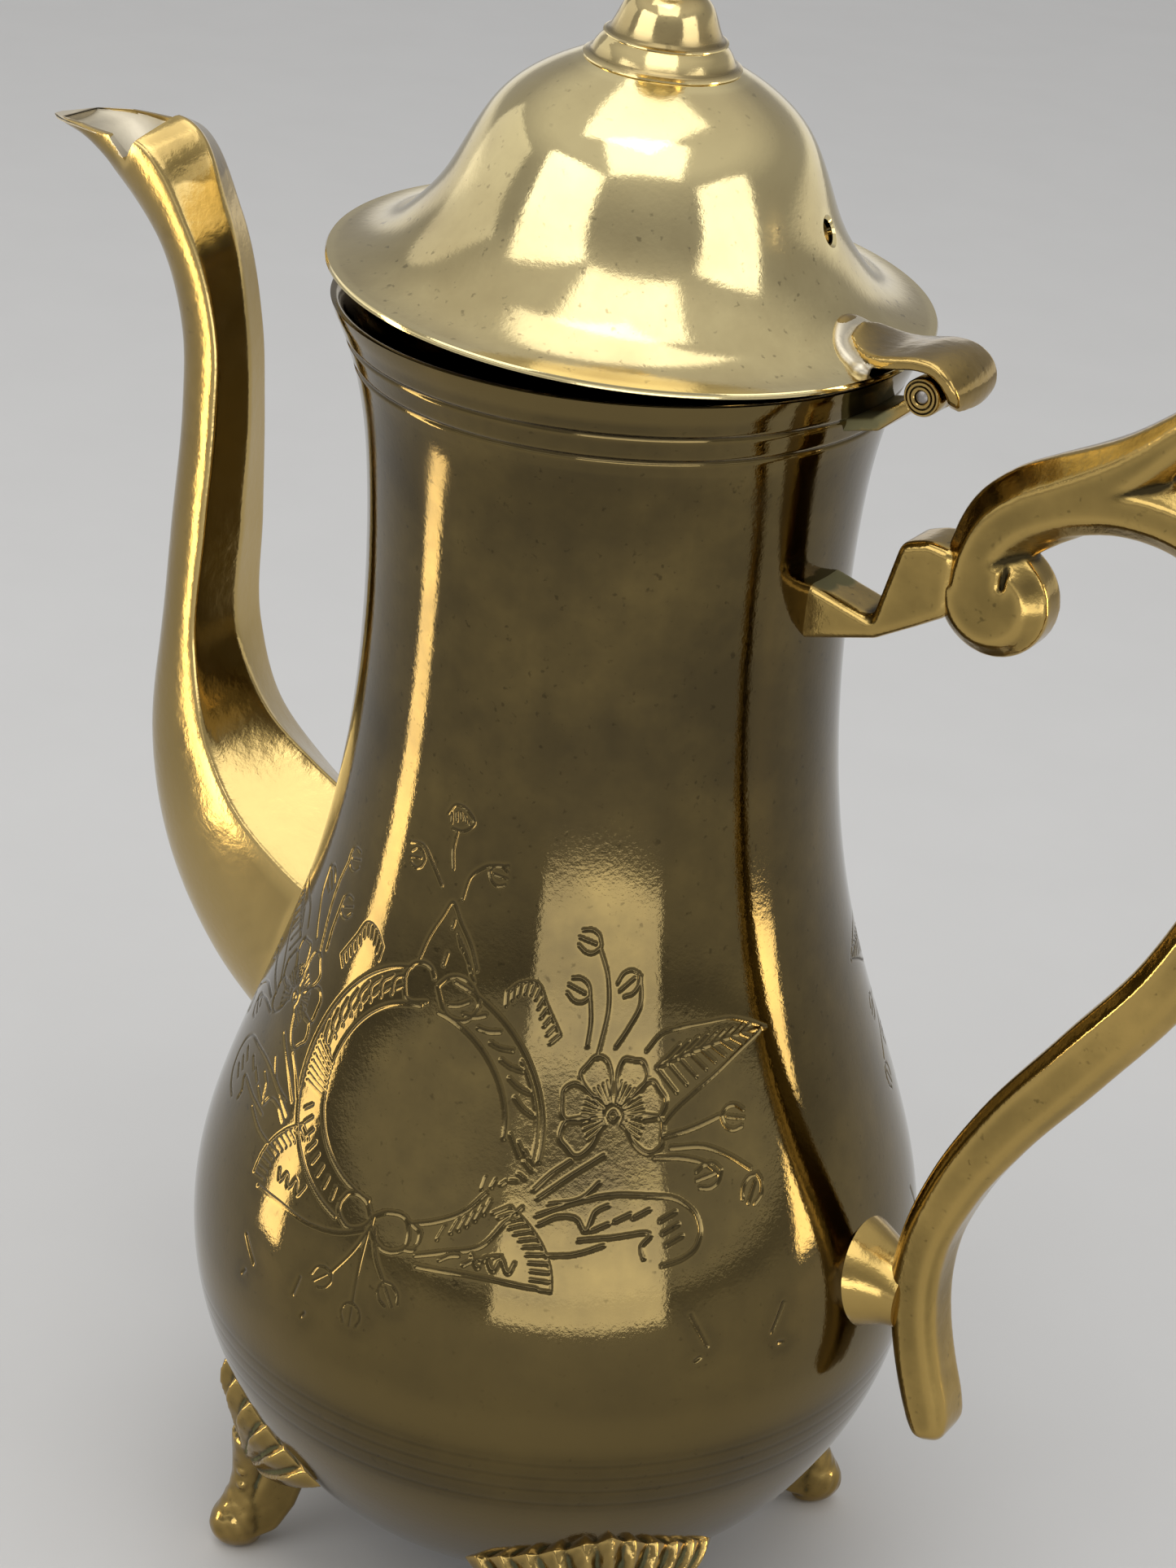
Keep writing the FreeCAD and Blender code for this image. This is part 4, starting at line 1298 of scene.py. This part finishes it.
def seam_mask(places, normals):
    """One on the solder, in the pose at rest."""
    turn = math.radians(AJAR)
    x, z = places[:, 0] - hx, places[:, 2] - hz
    shut = np.stack([x * math.cos(turn) - z * math.sin(turn), places[:, 1]], 1)
    line = through(SEAM, 120)
    away = np.linalg.norm(shut[:, None] - line[None, :, :2], axis=2)
    nearest = away.argmin(1)
    share = 1.7 - away.min(1) / line[nearest, 2]
    low = x * math.sin(turn) + z * math.cos(turn)
    return np.where(low < np.interp(shut[:, 0], (-13, -8), (4.4, 1.9)), np.clip(1.6 * share, 0, 1), 0)


leaf_stations = [(hx + dx, hz + dz, turn, wide) for dx, dz, turn, wide in LEAF]
leaf = strand("lid_leaf_casting", leaf_stations, leaf_section, 110)
combine(leaf, seam_solid("seam"), "UNION")
cast(leaf, voxel=0.2, rounds=3)
lid_fill = np.r_[[(CORE, RIM + 0.1), (39.1, RIM + 0.35), (39.1, RIM + 0.8)], top, [(CORE, LID_TOP)]]
combine(leaf, spindle("lid_trim", lid_fill, 240), "DIFFERENCE")
combine(leaf, knuckle("knuckle_centre", -CENTRE_HALF, CENTRE_HALF), "UNION")
WEB = [(hx - 1.7, hz + 1.5), (hx + 1.7, hz + 1.5), (hx + 1.7, hz + 3.1), (hx - 1.7, hz + 3.3)]
combine(leaf, slab("web", WEB, CENTRE_HALF - 0.02, bevel=0.1, segments=1), "UNION")
swing(leaf)
finish_piece(leaf, "lid", CAST, ["lid_leaf"], pale=seam_mask, trimmed=True)

# Finial in two turned tiers
SEAT = RIM + 29.45
tier_profile = [
    (2.05, 0),
    (9, -0.03),
    (9.9, -0.43),
    (10, -0.34),
    (9.95, -0.16),
    (9.5, 0.06),
    (9.15, 0.22),
    (8.95, 0.55),
    (8.55, 1.3),
    (8.05, 1.95),
    (7.72, 2.35),
    (7.6, 2.55),
    (2.05, 2.55),
]
tier = turned("finial_tier", [(r, SEAT + z) for r, z in tier_profile], 160)
swing(tier)
finish_piece(tier, "lid", FINIAL, ["finial_base"])

KNOB = SEAT + 2.6
urn = bspline([(2.6, 10), (6.48, 11), (7.02, 17), (2.4, 20), (1.6, 22.4), (0.15, 24)], 40)
stem = bspline([(6.9, 0.95), (6.3, 2.2), (5.7, 4.2), (4.4, 5.4), (3.3, 6.4), (3.1, 8)], 24)
knob_profile = np.r_[
    [(2.05, 0), (7.68, 0), (7.82, 0.1), (7.78, 0.24), (7.4, 0.36), (7.05, 0.6)],
    stem,
    [(4.3, 8.35), (4.6, 8.55), (4.6, 9.0), (4.3, 9.25), (2.7, 9.7)],
    urn,
    [(0.15, 6), (2.05, 6)],
]
knob = turned("finial_urn", knob_profile + [0, KNOB], 160)
swing(knob)
finish_piece(knob, "lid", FINIAL, ["finial_knob"])

# Feet: leg rings of x, z, depth and width, and a fan of ribs, all along +X before they are turned
LEG = [
    (44.5, 0, 2, 1.3),
    (44.7, 0.5, 2.9, 2.1),
    (45.1, 1.8, 3.7, 3.1),
    (45.3, 4.2, 4, 3.7),
    (44.5, 7.2, 3.4, 3.2),
    (44, 10.4, 2.6, 2.7),
    (43.8, 13.3, 2.4, 2.7),
    (43.4, 16, 2.8, 3.2),
    (42.6, 20, 3.8, 4.4),
]
FIN = [(44, 1.2), (39.4, 3.2), (36.8, 7.5), (35, 13), (41, 17), (44.5, 8)]
FIN_HALF = 2.9
KNOBS = [
    ((44.8, 2, 12), (0.9, 0.9, 0.8)),
    ((45, -1.8, 14.2), (1, 1, 0.9)),
    ((44.8, 1.9, 14.6), (0.9, 1, 0.9)),
]
RIBS = 11
FAN_SPREAD = 27
FAN_ROOT = 0.34
FAN_FOOT = 18.4
FAN_TOP = 33.8
FAN_DROP = 10.6
FAN_RADIUS = 44.6
FAN_BACK = 33
TOOTH = 0.8
RIB_SHAPE = 0.85
RIB_HEIGHT = 1.9
RIB_BASE = 1.3
RIDGE = 0.4
ROLL = 0.62
ROUGH_WAVES = [(2.1, 1.3, 0.7), (-1.2, 2.4, 1.1), (0.8, -1.1, 2.7), (3.3, 0.4, -1.9), (-2.2, -2.9, 1.6)]
ROUGH_HEIGHTS = (1, 4, 11, 15)
ROUGH_AMOUNTS = (0, 0.022, 0.018, 0.01)
WEB_END = 41


def leg_solid(name):
    angles = circle(48)
    rings = []
    for x, z, deep, wide in through(LEG, 40):
        level = np.full_like(angles, z)
        rings.append(np.stack([x + deep * np.cos(angles), wide * np.sin(angles), level], -1))
    return tube(name, np.array(rings))


def fan_solid(name, columns=217, rows=44):
    """The fluted shell over the belly: each rib rolls over onto the body, and the back reaches into it."""
    share = np.linspace(-1, 1, columns)[:, None]
    pleat = ((np.abs(share) * RIBS + 1) / 2) % 1
    crest = np.minimum(pleat / RIDGE, (1 - pleat) / (1 - RIDGE)) ** RIB_SHAPE
    edge = FAN_TOP - FAN_DROP * np.abs(share) + TOOTH * crest
    along = np.linspace(0, 1, rows)[None]
    start = FAN_FOOT - 0.6 * share**2
    z = start + along ** (1 + 0.5 * share**2) * (edge - start)
    roll = 1 - np.clip((along - ROLL) / (1 - ROLL), 0, 1) ** 2
    lift = (RIB_BASE * along + RIB_HEIGHT * (0.3 + 0.7 * along) * crest) * roll * (1 - 0.4 * share**2)
    angle = np.radians(FAN_SPREAD * share * (FAN_ROOT + (1 - FAN_ROOT) * along))
    outward = np.stack([np.cos(angle), np.sin(angle)], -1)
    low = FAN_RADIUS - 1.2 * share**2
    high = pot_radius(edge) - 0.2
    outer = outward * (low + (high - low) * along + lift)[:, :, None]
    inner = outward * (FAN_BACK - 3 * along)[:, :, None]
    skin = np.concatenate([outer, z[:, :, None]], -1)
    back = np.concatenate([inner, z[:, :, None]], -1)[:, ::-1]
    return tube(name, np.concatenate([skin, back], 1))


def roughen(mesh):
    """Moves a casting's points in and out by a little, more at the toe."""
    places = places_of(mesh)
    swell = sum(np.sin(places @ np.array(wave) + k) for k, wave in enumerate(ROUGH_WAVES))
    amount = np.interp(places[:, 2], ROUGH_HEIGHTS, ROUGH_AMOUNTS)
    amount = amount * np.clip((places[:, 0] - WEB_END) / 3, 0, 1)
    set_places(mesh, places + normals_of(mesh) * (amount * swell)[:, None])


def foot_solid(name):
    item = fan_solid(name)
    combine(item, leg_solid("leg"), "UNION")
    combine(item, slab("fin", FIN, FIN_HALF, bevel=1.2, segments=4), "UNION")
    for centre, size in KNOBS:
        combine(item, bead("knob", centre, size), "UNION")
    cast(item, voxel=0.3, rounds=2)
    roughen(item.data)
    combine(item, pot_solid(offset=-0.1), "DIFFERENCE")
    return item


foot = foot_solid("foot_front_right_casting")
FEET = {"foot_front_left": -135, "foot_back_right": 45, "foot_back_left": 135}
feet = {"foot_front_right": foot}
for name, angle in FEET.items():
    copy = bpy.data.objects.new(name + "_casting", foot.data.copy())
    scene.collection.objects.link(copy)
    feet[name] = rotate(copy, angle, "Z")
rotate(foot, -45, "Z")
for name, item in feet.items():
    finish_piece(item, "pot", CAST, [name], wear=0.075, moss=0.4, trimmed=True)

# Nodes that are seen only from below or with the lid open keep their CAD shape
for name, material in (("base_disc", SHEET_PAINTED_SHADE), ("finial_stud", CAST), ("finial_nut", CAST)):
    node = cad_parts[name]
    node.data.materials.clear()
    node.data.materials.append(material)

# Floor and light
floor_material, floor_tree, floor_surface = shader("floor_paper")
floor_tone = blend(floor_tree, noise(floor_tree, 30, 3), (0.55, 0.545, 0.535), (0.58, 0.575, 0.565))
floor_tree.links.new(floor_tone, floor_surface.inputs["Base Color"])
floor_surface.inputs["Roughness"].default_value = 0.85
FLOOR_HALF = 3000
floor_corners = [(FLOOR_HALF * x, FLOOR_HALF * y, 0) for x, y in ((-1, -1), (1, -1), (1, 1), (-1, 1))]
floor = solid("floor", floor_corners, [[0, 1, 2, 3]])
floor.data.materials.append(floor_material)


def lamp(name, place, target, size, power, tone=(1, 1, 1), spill=True):
    """A soft rectangular lamp that faces a point."""
    data = bpy.data.lights.new(name, "AREA")
    data.shape = "RECTANGLE"
    data.size = size[0]
    data.size_y = size[1]
    data.energy = power
    data.color = tone
    item = bpy.data.objects.new(name, data)
    item.location = place
    item.rotation_euler = (Vector(target) - Vector(place)).to_track_quat("-Z", "Y").to_euler()
    item.visible_camera = False
    item.visible_diffuse = spill
    scene.collection.objects.link(item)


WARM = (1, 0.84, 0.55)
lamp("overhead", (-0.05, 0, 1.2), (0, 0, 0.1), (0.8, 0.7), 2.8)
lamp("soft_top", (0.26, -0.41, 1.08), (0, 0, 0.21), (0.75, 0.6), 2.3)
lamp("soft_left", (-0.33, -0.82, 0.68), (0, 0, 0.21), (0.7, 0.5), 2.1)
lamp("soft_right", (0.91, -0.03, 0.62), (0, 0, 0.21), (0.6, 0.42), 1.4)
lamp("wall_left", (-1, -0.14, 0.5), (0, 0, 0.2), (0.8, 0.6), 0.75)
lamp("soft_front", (0.35, -0.42, 0.08), (0, 0, 0.1), (0.5, 0.14), 0.55, spill=False)
lamp("strip_left", (-0.205, -0.143, 0.13), (0, 0, 0.13), (0.04, 0.24), 0.24, WARM, spill=False)
lamp("strip_right", (0.42, 0.17, 0.16), (0, 0, 0.12), (0.08, 0.28), 0.6, WARM, spill=False)

# Studio walls: pale at the horizon, darker over it, paler again towards the ceiling
world = bpy.data.worlds.new("studio")
world.use_nodes = True
tree = world.node_tree
height = height_of(tree, "Generated")
walls = blend(tree, spread(tree, height, 0.1, 0.2), (0.9, 0.9, 0.9), (0.4, 0.4, 0.41))
walls = blend(tree, spread(tree, height, 0.45, 0.75), walls, (0.75, 0.75, 0.75))
tree.links.new(walls, tree.nodes["Background"].inputs["Color"])
scene.world = world

bpy.context.view_layer.update()
